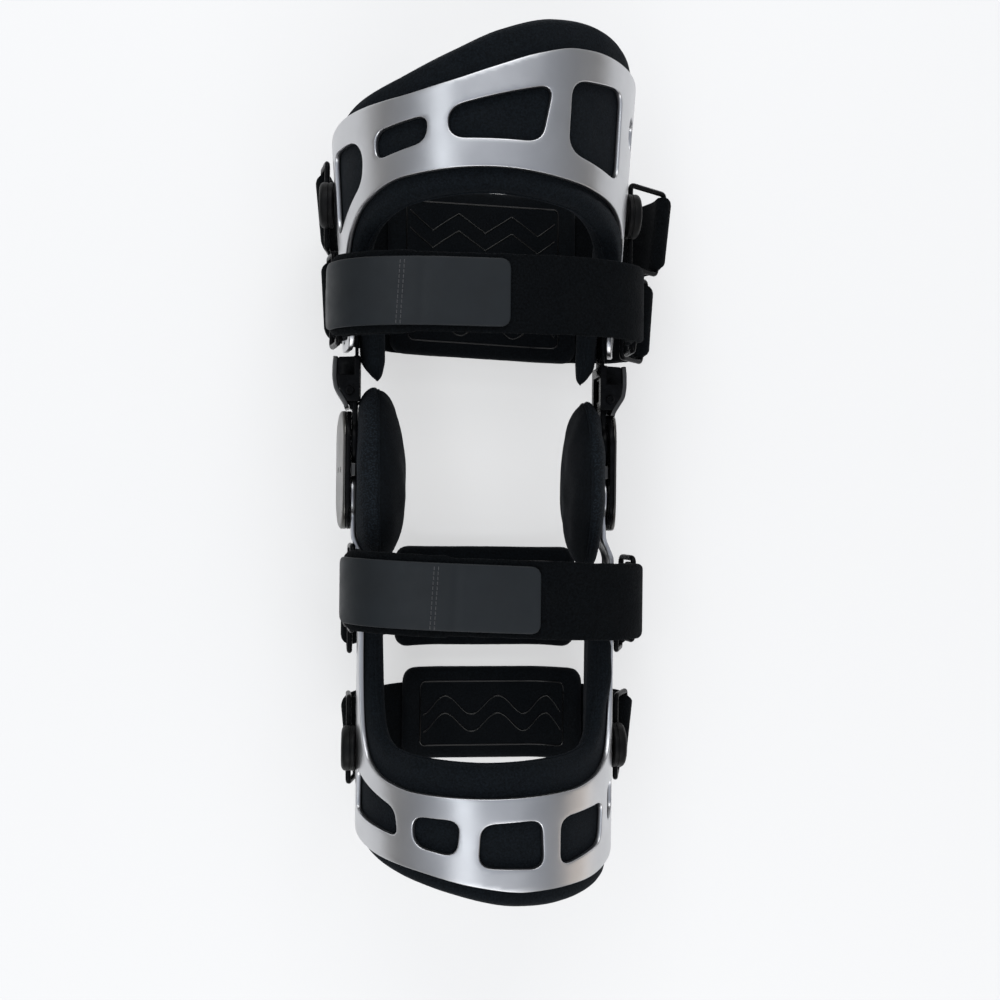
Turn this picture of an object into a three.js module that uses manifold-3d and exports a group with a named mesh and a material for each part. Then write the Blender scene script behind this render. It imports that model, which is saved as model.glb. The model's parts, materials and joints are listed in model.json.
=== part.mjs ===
// A rigid-frame hinged knee brace, lying on its back as it is laid out when it is off the leg.
//
// X runs across the knee to the outer side of the leg, Y up the leg and Z to the front of the knee.
// Sizes are in millimetres. Every piece is placed from the middle of the knee, halfway between the
// four hinge pivots, and the finished brace is then set on the ground.

import * as THREE from 'three';
import { mergeVertices } from 'three/addons/utils/BufferGeometryUtils.js';
import Module from 'manifold-3d';

const wasm = await Module();
wasm.setup();

// Driving dimensions of the leg section that the metal follows
const THIGH_DEPTH = 66;
const SHIN_DEPTH = 55;
const UPRIGHT_HALF_SPACING = 67;
const THIGH_FLARE = 0.071;
const ARM_HALF_SPACING = 62.9;
const SHIN_HALF_WIDTH = 63.8;
const SHIN_SHIFT = 4.2;
const SHIN_JOG = { from: 31, to: 44 };

// Driving dimensions of the layers
const GAP = 0.3;
const SHEET = 2.5;
const LINER = 9;
const LINER_EDGE = 3;
const LINER_STAND_OFF = 0.7;
const SHIN_TIP_STAND_OFF = 1.4;
const TONGUE_STAND_OFF = 5.4;
const STAND_OFF_FADE = 16;
const STRAP = 2.2;
const STRAP_LAYER_GAP = 0.6;
const TAB = 1.6;
const PAD = 7;
const GROUND = -68;

// Driving dimensions of the hinges
const PIVOT_Y = 13;
const UPRIGHT_END_Y = 58;
const SHIN_BAR_TOP_Y = -SHIN_JOG.from;
const HINGE_RADIUS = 16;
const ARM_END_RADIUS = 12.6;
const PIN_RADIUS = 4;
const ARM_X = [60.2, ARM_HALF_SPACING];
const BODY_X = [63.2, 67.1];
const COVER_X = [67.4, 71.4];
const SHIN_BAR_HALF_WIDTH = 10;
const SHIN_BAR_OVERLAP = 3;
const CLEVIS = { x: [59, 72.5], y: [33, 57.7], halfDepth: 12, pinX: 65.5, pinY: 39.5 };
const CLEVIS_SLOT = { half: 7.5, top: 50 };
const CLEVIS_BOW = { in: 6, low: 4, high: 11, corner: 2 };
const CLEVIS_STEP = { in: 2, deep: 2.5 };
const CLEVIS_TONGUE = { x: [61.6, 63.3], top: 76, halfWidth: 8, root: 8 };
const ARM_NECK = 3;
const KNUCKLE_INSET = 2;
const SCREW_RADIUS = 2;
const SCREW_HEAD = { radius: 3.2, height: 1.5 };
const COVER_BEVEL = 1.2;

// Driving dimensions of the strap fastenings
const WIRE_RADIUS = 1.4;
const RING_CORNER = 2;
const BUTTON = { radius: 11, thick: 6.6, bevel: 1.5 };

// How finely the round forms are faceted
const WIRE_SIDES = 5;
const ROUND_SIDES = 14;
const PAD_SIDES = 18;
const CORNER_STEPS = 2;
const PLATE_STEPS = 6;
const BEND_STEPS = 9;

// Cutters run this far past what they cut, and a window's cutter this far in and out of the metal
const PAST = 2;
const WINDOW_REACH = 9;

// Angles round the leg, from a side towards the front, at which the cuffs and liners are sectioned, and
// the shares of each section's height at which it has a row of points
const SHEET_ANGLES = [-10, -5, 0, 5, 9.5, 10.5, 10.8, 12, 15, 20, 26, 35, 48, 68];
const THIGH_ROWS = [0, 0.35, 0.7, 1];
const SHIN_ROWS = [0, 0.5, 0.91, 0.94, 0.965, 0.985, 1];
const THIGH_LINER_ROWS = [0, 0.18, 0.3, 0.65, 1];
const SHIN_LINER_ROWS = [0, 0.35, 0.7, 0.86, 1];
const LINER_ANGLES = [-12, -5, 0, 5, 9.5, 12, 15, 20, 26, 35, 48, 68];

// Edges of the metal and the liners: height at each angle round the leg. The arches are alike on both
// sides, so they are given from a side (0) to the front (90); the other edges run from the outer side
// (0) over the front (90) to the inner side (180).
const THIGH_ARCH = [
  { angle: -10, y: 63 }, { angle: -6, y: 58.4 }, { angle: 0, y: 58 }, { angle: 6, y: 58.4 },
  { angle: 9.5, y: 63 }, { angle: 12, y: 75 }, { angle: 16, y: 92 }, { angle: 20, y: 103 },
  { angle: 25, y: 111 }, { angle: 36, y: 121.5 }, { angle: 56, y: 130 }, { angle: 90, y: 133 },
];
const THIGH_TOP = [
  { angle: -10, y: 165 }, { angle: -4, y: 182 }, { angle: 10, y: 190 }, { angle: 45, y: 192 },
  { angle: 60, y: 190.5 }, { angle: 75, y: 185 }, { angle: 90, y: 177.5 }, { angle: 105, y: 171 },
  { angle: 124, y: 166 }, { angle: 156, y: 163.5 }, { angle: 180, y: 158 }, { angle: 190, y: 142 },
];
const THIGH_LINER_ARCH = [
  { angle: -12, y: 52 }, { angle: 0, y: 44.5 }, { angle: 9, y: 51 }, { angle: 13, y: 70 },
  { angle: 18, y: 88 }, { angle: 25, y: 101 }, { angle: 38, y: 112.5 }, { angle: 57, y: 120 },
  { angle: 90, y: 123.5 },
];
const THIGH_LINER_TOP = [
  { angle: -12, y: 168 }, { angle: 0, y: 190 }, { angle: 16, y: 200 }, { angle: 50, y: 206 },
  { angle: 67, y: 204 }, { angle: 88, y: 196 }, { angle: 106, y: 186 }, { angle: 127, y: 177 },
  { angle: 156, y: 169.5 }, { angle: 180, y: 161 }, { angle: 192, y: 142 },
];
const SHIN_ARCH = [
  { angle: -10, y: SHIN_BAR_TOP_Y }, { angle: 10.5, y: SHIN_BAR_TOP_Y }, { angle: 10.8, y: -47 },
  { angle: 12, y: -92 }, { angle: 15, y: -116 }, { angle: 19, y: -128 }, { angle: 26, y: -138 },
  { angle: 40, y: -145 }, { angle: 56, y: -148 }, { angle: 90, y: -149 },
];
const SHIN_BOTTOM = [
  { angle: -10, y: -172 }, { angle: 0, y: -182 }, { angle: 23, y: -188 }, { angle: 47, y: -191.5 },
  { angle: 75, y: -192 }, { angle: 96, y: -189 }, { angle: 122, y: -183.5 }, { angle: 154, y: -179 },
  { angle: 180, y: -173 }, { angle: 190, y: -164 },
];
const SHIN_LINER_ARCH = [
  { angle: -12, y: -58 }, { angle: 0, y: -53 }, { angle: 9, y: -58 }, { angle: 13, y: -86 },
  { angle: 18, y: -110 }, { angle: 25, y: -124 }, { angle: 38, y: -131 }, { angle: 57, y: -133.5 },
  { angle: 90, y: -134.5 },
];
const SHIN_LINER_BOTTOM = [
  { angle: -12, y: -180 }, { angle: 0, y: -192 }, { angle: 20, y: -198 }, { angle: 60, y: -201 },
  { angle: 79, y: -200 }, { angle: 110, y: -194 }, { angle: 150, y: -186 }, { angle: 180, y: -179 },
  { angle: 192, y: -171 },
];

// Windows through the metal: corners as angle and height, rounded by a radius
const THIGH_WINDOWS = [
  { radius: 4, corners: [[148, 151], [143, 144], [144.5, 131], [166.5, 111.5], [172, 118], [169.5, 151]] },
  { radius: 5, corners: [[136, 152], [113.5, 156.5], [114.5, 144.5], [136, 139]] },
  { radius: 6, corners: [[106.5, 159], [69, 172], [73, 145.5], [106, 145.5]] },
  { radius: 7, corners: [[61.5, 176], [33, 180], [32, 136.5], [62, 143.5]] },
  { radius: 5, corners: [[22, 173], [7, 173], [7, 158], [22, 158]] },
];
const SHIN_WINDOWS = [
  { radius: 4, corners: [[170, -144], [135, -156.5], [133, -169.5], [171, -164.5]] },
  { radius: 5, corners: [[125.5, -158.5], [104, -159], [105.5, -175.5], [125, -172]] },
  { radius: 5, corners: [[95.5, -160.5], [69.5, -159.5], [68.5, -182], [96.5, -180]] },
  { radius: 4, corners: [[60.5, -160], [28, -157], [29, -178], [60.5, -182.5]] },
  { radius: 4, corners: [[16, -156], [-1, -154], [-1, -170], [16, -174]] },
];
const UPRIGHT_HOLES = { radius: 2.3, heights: [64, 71.5] };

// Straps: the level of the middle line, its slope across the leg, the width, the wires at both ends
// and the height of the flat stretch between them
const FRONT_STRAPS = [
  { name: 'thigh_strap_front', y: 79.5, slope: 0, width: 36, wires: [[-69, 24], [73, 22]], crown: 53,
    tabEnd: 6 },
  { name: 'shin_strap_front', y: -59, slope: -0.036, width: 36, wires: [[-61.5, 20], [74.5, 20]], crown: 47,
    tabEnd: 22 },
];
const STRAP_BEND = { flat: 0.3, climb: 0.72, ease: 0.45 };
const FOLD_OPENING = 12;
const FRONT_FOLDS = { left: 46, right: 24 };
const FRONT_TAB_WIDTH = 31;
const REAR_STRAPS = [
  { name: 'thigh_strap_upper', y: 129, slope: -0.028, width: 38, wires: [[-77.5, -20], [96, -20]],
    pad: 'thigh_pad_upper', padWidth: 46, padY: 133.5, padShift: -4 },
  { name: 'thigh_strap_lower', y: 84, slope: -0.04, width: 38, wires: [[-75, -22], [88, -22]],
    pad: 'thigh_pad_lower', padWidth: 44, padY: 86, padShift: 0 },
  { name: 'calf_strap_upper', y: -69, slope: 0, width: 38, wires: [[-64, -20], [77, -20]],
    pad: 'calf_pad_upper', padWidth: 55, padY: -67, padShift: 3 },
  { name: 'calf_strap_lower', y: -134, slope: 0, width: 38, wires: [[-62, -20], [78, -20]],
    pad: 'calf_pad_lower', padWidth: 51, padY: -131.5, padShift: 5.5 },
];
const REAR_FOLD = 36;
const PAD_HALF_LENGTH = 54;

// Buttons on the metal's outer face: level and the places of the wires that pass through them
const BUTTONS = [
  { name: 'thigh_button_upper', y: 130, wireZ: { rear: -4 }, rear: 'thigh_strap_upper' },
  { name: 'thigh_button_lower', y: 80, wireZ: { front: 5, rear: -5 },
    front: 'thigh_strap_front', rear: 'thigh_strap_lower' },
  { name: 'calf_button_upper', y: -66.5, wireZ: { front: 5, rear: -5 },
    front: 'shin_strap_front', rear: 'calf_strap_upper' },
  { name: 'calf_button_lower', y: -137, wireZ: { rear: -4 }, rear: 'calf_strap_lower' },
];

// Pads at the sides of the knee: share of the full outline at each distance from the knee's middle
const CONDYLE_PAD = [
  { x: 59.4, scale: 0 }, { x: 59.4, scale: 0.68 }, { x: 56.6, scale: 0.93 }, { x: 53.5, scale: 1 },
  { x: 47, scale: 0.99 }, { x: 42, scale: 0.87 }, { x: 39.5, scale: 0.6 }, { x: 39, scale: 0 },
];
const CONDYLE_HALF_HEIGHT = 41;
const CONDYLE_HALF_DEPTH = 31;
const CONDYLE_LEVEL = { left: 0.5, right: -4.5 };

const SIDES = [{ side: 'left', sign: -1 }, { side: 'right', sign: 1 }];

// Finishes
const finish = (color, roughness, metalness) =>
  new THREE.MeshStandardMaterial({ color, roughness, metalness });
const ALUMINIUM = finish(0xb8b9bb, 0.34, 1);
const STEEL = finish(0x9a9a9c, 0.3, 1);
const GUNMETAL = finish(0x575049, 0.24, 1);
const BLACK_METAL = finish(0x0d0d0e, 0.28, 0.4);
const BLACK_PLASTIC = finish(0x121213, 0.5, 0);
const LINER_FABRIC = finish(0x14161a, 0.95, 0);
const STRAP_FABRIC = finish(0x101216, 0.9, 0);
const SLATE_RUBBER = finish(0x262a31, 0.62, 0);

const brace = new THREE.Group();

function addPiece(name, geometry, material) {
  const mesh = new THREE.Mesh(geometry, material);
  mesh.name = name;
  brace.add(mesh);
}

// Half width, depth and middle of the metal's outer face at a height
function legSection(y) {
  if (y > 0) {
    const halfWidth = UPRIGHT_HALF_SPACING + (y - UPRIGHT_END_Y) * THIGH_FLARE;
    return { centre: 0, halfWidth, depth: THIGH_DEPTH };
  }
  const jog = THREE.MathUtils.smoothstep(-y, SHIN_JOG.from, SHIN_JOG.to);
  const halfWidth = THREE.MathUtils.lerp(ARM_HALF_SPACING, SHIN_HALF_WIDTH, jog);
  return { centre: SHIN_SHIFT * jog, halfWidth, depth: SHIN_DEPTH };
}

// A point at an angle round the leg and a height, standing out from the metal's outer face
function aroundLeg(angle, y, out) {
  const { centre, halfWidth, depth } = legSection(y);
  const turn = THREE.MathUtils.degToRad(angle);
  return new THREE.Vector3(centre + (halfWidth + out) * Math.cos(turn), y, (depth + out) * Math.sin(turn));
}

// A smooth edge through a table's rows that never swings past them
function edge(rows) {
  const steps = rows.slice(1).map((row, i) => (row.y - rows[i].y) / (row.angle - rows[i].angle));
  const slopes = rows.map((_, i) => {
    const before = steps[i - 1] ?? 0;
    const after = steps[i] ?? 0;
    return before * after > 0 ? (2 * before * after) / (before + after) : 0;
  });
  return (angle) => {
    const last = rows.length - 2;
    const i = Math.max(0, Math.min(last, rows.findIndex((row) => row.angle > angle) - 1));
    const k = angle >= rows[rows.length - 1].angle ? last : i;
    const span = rows[k + 1].angle - rows[k].angle;
    const t = THREE.MathUtils.clamp((angle - rows[k].angle) / span, 0, 1);
    const bend = t * t * (3 - 2 * t);
    const lead = t * (1 - t) * (1 - t) * slopes[k] * span;
    const trail = t * t * (1 - t) * slopes[k + 1] * span;
    return rows[k].y + (rows[k + 1].y - rows[k].y) * bend + lead - trail;
  };
}

const fromNearSide = (angle) => (angle > 90 ? 180 - angle : angle);

function arch(rows) {
  const half = edge(rows);
  return (angle) => half(fromNearSide(angle));
}

const bothSides = (angles) => [...angles, 90, ...angles.map((angle) => 180 - angle).reverse()];

// A closed solid from points and triangles, turned so that its faces point out
function solid(points, triangles) {
  let volume = 0;
  for (const [a, b, c] of triangles) {
    volume += points[a].dot(new THREE.Vector3().crossVectors(points[b], points[c]));
  }
  const facing = volume < 0 ? triangles.map(([a, b, c]) => [a, c, b]) : triangles;
  const geometry = new THREE.BufferGeometry().setFromPoints(points);
  geometry.setIndex(facing.flat());
  return geometry;
}

// Skins a row of like closed sections, and closes it on itself or caps both ends
function loft(sections, { closed = false, cap = [] } = {}) {
  const count = sections[0].length;
  const triangles = [];
  const spans = closed ? sections.length : sections.length - 1;
  for (let i = 0; i < spans; i += 1) {
    const here = i * count;
    const next = ((i + 1) % sections.length) * count;
    for (let j = 0; j < count; j += 1) {
      const k = (j + 1) % count;
      triangles.push([here + j, next + j, next + k], [here + j, next + k, here + k]);
    }
  }
  const end = (sections.length - 1) * count;
  for (const [a, b, c] of cap) {
    triangles.push([a, b, c], [end + a, end + c, end + b]);
  }
  return solid(sections.flat(), triangles);
}

// Triangles that close a section made of an outer row of points and an inner row running back
function stripCap(count) {
  const triangles = [];
  for (let j = 0; j < count / 2 - 1; j += 1) {
    const across = count - 1 - j;
    triangles.push([j, j + 1, across], [j + 1, across - 1, across]);
  }
  return triangles;
}

// A wall round the leg between a lower and an upper edge, with rows of points up each section
function wall({ angles, lower, upper, rows, outer, inner }) {
  const sections = angles.map((angle) => {
    const heights = rows(lower(angle), upper(angle));
    const outside = heights.map((y, j) => aroundLeg(angle, y, outer(j, y)));
    const inside = heights.map((y, j) => aroundLeg(angle, y, inner(j, y)));
    return [...outside, ...inside.reverse()];
  });
  return loft(sections, { cap: stripCap(sections[0].length) });
}

const sharedRows = (shares) => (low, high) => shares.map((share) => THREE.MathUtils.lerp(low, high, share));

function toManifold(geometry) {
  const bare = geometry.clone();
  bare.deleteAttribute('normal');
  bare.deleteAttribute('uv');
  const welded = mergeVertices(bare, 1e-4);
  return new wasm.Manifold(new wasm.Mesh({
    numProp: 3,
    vertProperties: new Float32Array(welded.attributes.position.array),
    triVerts: new Uint32Array(welded.index.array),
  }));
}

function fromManifold(manifold) {
  const mesh = manifold.getMesh();
  const geometry = new THREE.BufferGeometry();
  geometry.setAttribute('position', new THREE.BufferAttribute(new Float32Array(mesh.vertProperties), 3));
  geometry.setIndex(Array.from(mesh.triVerts));
  return geometry;
}

function join(...geometries) {
  return fromManifold(geometries.map(toManifold).reduce((whole, piece) => whole.add(piece)));
}

function cut(geometry, tools) {
  const whole = toManifold(geometry);
  return fromManifold(tools.map(toManifold).reduce((left, tool) => left.subtract(tool), whole));
}

// A polygon with every corner rounded
function roundedOutline(corners, radius) {
  const shape = new THREE.Shape();
  corners.forEach((corner, i) => {
    const before = corners[(i + corners.length - 1) % corners.length];
    const after = corners[(i + 1) % corners.length];
    const enter = before.clone().sub(corner).setLength(radius).add(corner);
    const leave = after.clone().sub(corner).setLength(radius).add(corner);
    if (i === 0) shape.moveTo(enter.x, enter.y);
    else shape.lineTo(enter.x, enter.y);
    shape.quadraticCurveTo(corner.x, corner.y, leave.x, leave.y);
  });
  shape.closePath();
  return shape;
}

const openLoop = (points) =>
  (points[0].distanceTo(points[points.length - 1]) < 1e-6 ? points.slice(0, -1) : points);

// A block that cuts a window straight out through the wall round the leg
function windowBlock(outline, arcPerDegree) {
  const flat = openLoop(outline.getPoints(CORNER_STEPS));
  const ring = (out) => flat.map((point) => aroundLeg(point.x / arcPerDegree, point.y, out));
  const cap = THREE.ShapeUtils.triangulateShape(flat, []);
  return loft([ring(-WINDOW_REACH), ring(WINDOW_REACH)], { cap });
}

function windowBlocks(windows, meanRadius) {
  const arcPerDegree = THREE.MathUtils.degToRad(meanRadius);
  return windows.map(({ radius, corners }) => {
    const flat = corners.map(([angle, y]) => new THREE.Vector2(angle * arcPerDegree, y));
    return windowBlock(roundedOutline(flat, radius), arcPerDegree);
  });
}

function uprightHoles() {
  const arcPerDegree = THREE.MathUtils.degToRad(UPRIGHT_HALF_SPACING);
  return [0, 180].flatMap((angle) => UPRIGHT_HOLES.heights.map((y) => {
    const round = new THREE.Shape().absarc(angle * arcPerDegree, y, UPRIGHT_HOLES.radius, 0, 2 * Math.PI);
    return windowBlock(round, arcPerDegree);
  }));
}

// A plate lying in the YZ plane: its outline is drawn as height and depth
function plate(outline, [from, to], bevel = 0) {
  const geometry = new THREE.ExtrudeGeometry(outline, {
    depth: to - from - 2 * bevel,
    bevelEnabled: bevel > 0,
    bevelThickness: bevel,
    bevelSize: bevel,
    bevelOffset: -bevel,
    bevelSegments: 1,
    curveSegments: PLATE_STEPS,
  });
  const axes = new THREE.Matrix4().makeBasis(
    new THREE.Vector3(0, 1, 0), new THREE.Vector3(0, 0, 1), new THREE.Vector3(1, 0, 0));
  return geometry.applyMatrix4(axes).translate(from + bevel, 0, 0);
}

// A mirrored copy for the inner side of the leg
function onSide(geometry, sign) {
  if (sign > 0) return geometry;
  const bare = geometry.index ? geometry.toNonIndexed() : geometry.clone();
  bare.deleteAttribute('normal');
  bare.deleteAttribute('uv');
  const mirrored = mergeVertices(bare.scale(-1, 1, 1), 1e-4);
  const index = mirrored.index.array;
  for (let i = 0; i < index.length; i += 3) {
    [index[i + 1], index[i + 2]] = [index[i + 2], index[i + 1]];
  }
  return mirrored;
}

function turnedPin(radius, [from, to], axis) {
  const pin = new THREE.CylinderGeometry(radius, radius, to - from, ROUND_SIDES);
  if (axis === 'x') pin.rotateZ(Math.PI / 2).translate((from + to) / 2, 0, 0);
  else pin.rotateX(Math.PI / 2).translate(0, 0, (from + to) / 2);
  return pin;
}

function turned(profile) {
  const points = profile.map(([radius, height]) => new THREE.Vector2(radius, height));
  return new THREE.LatheGeometry(points, ROUND_SIDES);
}

function block([x0, x1], [y0, y1], [z0, z1]) {
  return new THREE.BoxGeometry(x1 - x0, y1 - y0, z1 - z0)
    .translate((x0 + x1) / 2, (y0 + y1) / 2, (z0 + z1) / 2);
}

function roundHole(y, radius) {
  return new THREE.Path().absarc(y, 0, radius, 0, 2 * Math.PI, true);
}

// Cuffs: sheet metal shells with windows, each with an upright down both sides of the leg

function addThighCuff() {
  const shell = wall({
    angles: bothSides(SHEET_ANGLES),
    lower: arch(THIGH_ARCH),
    upper: edge(THIGH_TOP),
    rows: sharedRows(THIGH_ROWS),
    outer: () => 0,
    inner: () => -SHEET,
  });
  const windows = windowBlocks(THIGH_WINDOWS, THIGH_DEPTH);
  addPiece('thigh_cuff', cut(shell, [...windows, ...uprightHoles()]), ALUMINIUM);
}

function shinArm() {
  const reach = ARM_END_RADIUS * Math.SQRT1_2;
  const half = SHIN_BAR_HALF_WIDTH;
  const barEnd = SHIN_BAR_TOP_Y - SHIN_BAR_OVERLAP;
  const outline = new THREE.Shape()
    .moveTo(barEnd, -half)
    .lineTo(SHIN_BAR_TOP_Y, -half)
    .lineTo(-PIVOT_Y - reach, -reach);
  outline.absarc(-PIVOT_Y, 0, ARM_END_RADIUS, -0.75 * Math.PI, 0.75 * Math.PI, false);
  outline.lineTo(SHIN_BAR_TOP_Y, half);
  outline.lineTo(barEnd, half);
  outline.closePath();
  outline.holes.push(roundHole(-PIVOT_Y, PIN_RADIUS + GAP));
  return plate(outline, ARM_X);
}

function addShinCuff() {
  const shell = wall({
    angles: bothSides(SHEET_ANGLES),
    lower: edge(SHIN_BOTTOM),
    upper: arch(SHIN_ARCH),
    rows: sharedRows(SHIN_ROWS),
    outer: () => 0,
    inner: () => -SHEET,
  });
  const arms = SIDES.map(({ sign }) => onSide(shinArm(), sign));
  const frame = join(shell, ...arms);
  addPiece('shin_cuff', cut(frame, windowBlocks(SHIN_WINDOWS, SHIN_DEPTH)), ALUMINIUM);
}

// Padded liners: thick walls inside the cuffs with rounded rims

function linerRows(shares) {
  const between = sharedRows(shares);
  return (low, high) => [low, ...between(low + LINER_EDGE, high - LINER_EDGE), high];
}

function addLiner(name, lower, upper, shares, standOff) {
  const last = shares.length + 1;
  const rim = (j) => (j === 0 || j === last ? LINER_EDGE : 0);
  addPiece(name, wall({
    angles: bothSides(LINER_ANGLES),
    lower,
    upper,
    rows: linerRows(shares),
    outer: (j, y) => -SHEET - LINER_STAND_OFF - standOff(y) - rim(j),
    inner: (j, y) => -SHEET - LINER_STAND_OFF - standOff(y) - LINER + rim(j),
  }), LINER_FABRIC);
}

// Straps: bands that run from wire to wire, folded back round both wires

const FOLD_RADIUS = WIRE_RADIUS + 2 * GAP + STRAP / 2;

// The middle line of a band in the XZ plane, from the inner side's wire to the outer side's
function strapLine([left, right], crown) {
  const rise = Math.sign(crown);
  const start = new THREE.Vector2(left[0] - rise * FOLD_RADIUS, left[1]);
  const finishAt = new THREE.Vector2(right[0] + rise * FOLD_RADIUS, right[1]);
  const middle = (left[0] + right[0]) / 2;
  const flat = (STRAP_BEND.flat * (right[0] - left[0])) / 2;
  const { lerp } = THREE.MathUtils;
  const path = new THREE.Path().moveTo(start.x, start.y);
  path.bezierCurveTo(start.x, lerp(start.y, crown, STRAP_BEND.climb),
    lerp(middle - flat, start.x, STRAP_BEND.ease), crown, middle - flat, crown);
  path.lineTo(middle + flat, crown);
  path.bezierCurveTo(lerp(middle + flat, finishAt.x, STRAP_BEND.ease), crown,
    finishAt.x, lerp(finishAt.y, crown, STRAP_BEND.climb), finishAt.x, finishAt.y);
  const points = path.getPoints(BEND_STEPS);
  let at = 0;
  return points.map((point, i) => {
    const ahead = points[Math.min(i + 1, points.length - 1)];
    const behind = points[Math.max(i - 1, 0)];
    const along = ahead.clone().sub(behind).normalize();
    at += i > 0 ? point.distanceTo(behind) : 0;
    return { point, along, right: new THREE.Vector2(along.y, -along.x), at };
  });
}

const aside = ({ point, right }, distance) => point.clone().addScaledVector(right, distance);

// The layer that is folded back beside a band, over a length measured from the wire
function foldedLayer(line, length, fromWire) {
  const closeLayer = STRAP + STRAP_LAYER_GAP;
  return line.filter((station) => fromWire(station) <= length).map((station) => {
    const near = 1 - THREE.MathUtils.smoothstep(fromWire(station), 0, FOLD_OPENING);
    return aside(station, THREE.MathUtils.lerp(closeLayer, 2 * FOLD_RADIUS, near));
  });
}

// The half turn round a wire, from a band's own end to its folded layer
function wireTurn(station, away) {
  const centre = aside(station, FOLD_RADIUS);
  return [0.2, 0.4, 0.6, 0.8].map((share) => {
    const turn = share * Math.PI;
    return centre.clone()
      .addScaledVector(station.right, -FOLD_RADIUS * Math.cos(turn))
      .addScaledVector(station.along, away * FOLD_RADIUS * Math.sin(turn));
  });
}

// A band of even thickness along a line of points, as wide as the strap and sheared by its slope
function band(line, thickness, width, y, slope) {
  const sections = line.map((point, i) => {
    const ahead = line[Math.min(i + 1, line.length - 1)];
    const behind = line[Math.max(i - 1, 0)];
    const along = ahead.clone().sub(behind).normalize();
    const sideways = new THREE.Vector2(along.y, -along.x).multiplyScalar(thickness / 2);
    const corner = ([side, edgeSign]) => {
      const place = point.clone().addScaledVector(sideways, side);
      return new THREE.Vector3(place.x, y + slope * place.x + (edgeSign * width) / 2, place.y);
    };
    return [[1, 1], [1, -1], [-1, -1], [-1, 1]].map(corner);
  });
  return loft(sections, { cap: [[0, 1, 2], [0, 2, 3]] });
}

function foldedStrap(line, folds) {
  const end = line[line.length - 1];
  const leftLayer = foldedLayer(line, folds.left, (station) => station.at).reverse();
  const rightLayer = foldedLayer(line, folds.right, (station) => end.at - station.at).reverse();
  return [
    ...leftLayer,
    ...wireTurn(line[0], -1).reverse(),
    ...line.map((station) => station.point),
    ...wireTurn(end, 1),
    ...rightLayer,
  ];
}

function addFrontStrap({ name, y, slope, width, wires, crown, tabEnd }) {
  const line = strapLine(wires, crown);
  addPiece(name, band(foldedStrap(line, FRONT_FOLDS), STRAP, width, y, slope), STRAP_FABRIC);
  const onFlat = { point: new THREE.Vector2(tabEnd, crown), right: new THREE.Vector2(0, -1) };
  const tabLine = [...line.filter(({ point }) => point.x < tabEnd), onFlat]
    .map((station) => aside(station, -(STRAP / 2 + GAP + TAB / 2)));
  addPiece(`${name}_tab`, band(tabLine, TAB, FRONT_TAB_WIDTH, y, slope), SLATE_RUBBER);
}

function addRearStrap({ name, y, slope, width, wires, pad, padWidth, padY, padShift }) {
  const crown = GROUND + STRAP / 2;
  const line = strapLine(wires, crown);
  const folded = foldedStrap(line, { left: REAR_FOLD, right: REAR_FOLD });
  addPiece(name, band(folded, STRAP, width, y, slope), STRAP_FABRIC);
  const middle = line[line.length - 1].at / 2 + padShift;
  const padLine = line
    .filter((station) => Math.abs(station.at - middle) <= PAD_HALF_LENGTH)
    .map((station) => aside(station, -(STRAP / 2 + GAP + PAD / 2)));
  addPiece(pad, band(padLine, PAD, padWidth, padY, slope), LINER_FABRIC);
}

// Wire rings and the buttons that hold them on the metal

// A rounded rectangular wire loop between two points of the XZ plane, as long as a strap is wide
function wireRing(inner, outer, y, halfLength) {
  const reach = outer.clone().sub(inner);
  const depth = reach.length();
  const across = new THREE.Vector3(reach.x, 0, reach.y).normalize();
  const upright = new THREE.Vector3(0, 1, 0);
  const normal = new THREE.Vector3().crossVectors(upright, across);
  const corners = [[-halfLength, 0], [halfLength, 0], [halfLength, depth], [-halfLength, depth]];
  const rounded = roundedOutline(corners.map(([u, w]) => new THREE.Vector2(u, w)), RING_CORNER);
  const start = new THREE.Vector3(inner.x, y, inner.y);
  const middle = openLoop(rounded.getPoints(CORNER_STEPS)).map((point) =>
    start.clone().addScaledVector(upright, point.x).addScaledVector(across, point.y));
  const sections = middle.map((point, i) => {
    const ahead = middle[(i + 1) % middle.length];
    const behind = middle[(i + middle.length - 1) % middle.length];
    const along = ahead.clone().sub(behind).normalize();
    const outward = new THREE.Vector3().crossVectors(along, normal);
    return Array.from({ length: WIRE_SIDES }, (_, k) => point.clone()
      .addScaledVector(outward, WIRE_RADIUS * Math.cos((2 * k * Math.PI) / WIRE_SIDES))
      .addScaledVector(normal, WIRE_RADIUS * Math.sin((2 * k * Math.PI) / WIRE_SIDES)));
  });
  return loft(sections, { closed: true });
}

const straps = Object.fromEntries([...FRONT_STRAPS, ...REAR_STRAPS].map((strap) => [strap.name, strap]));

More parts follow.
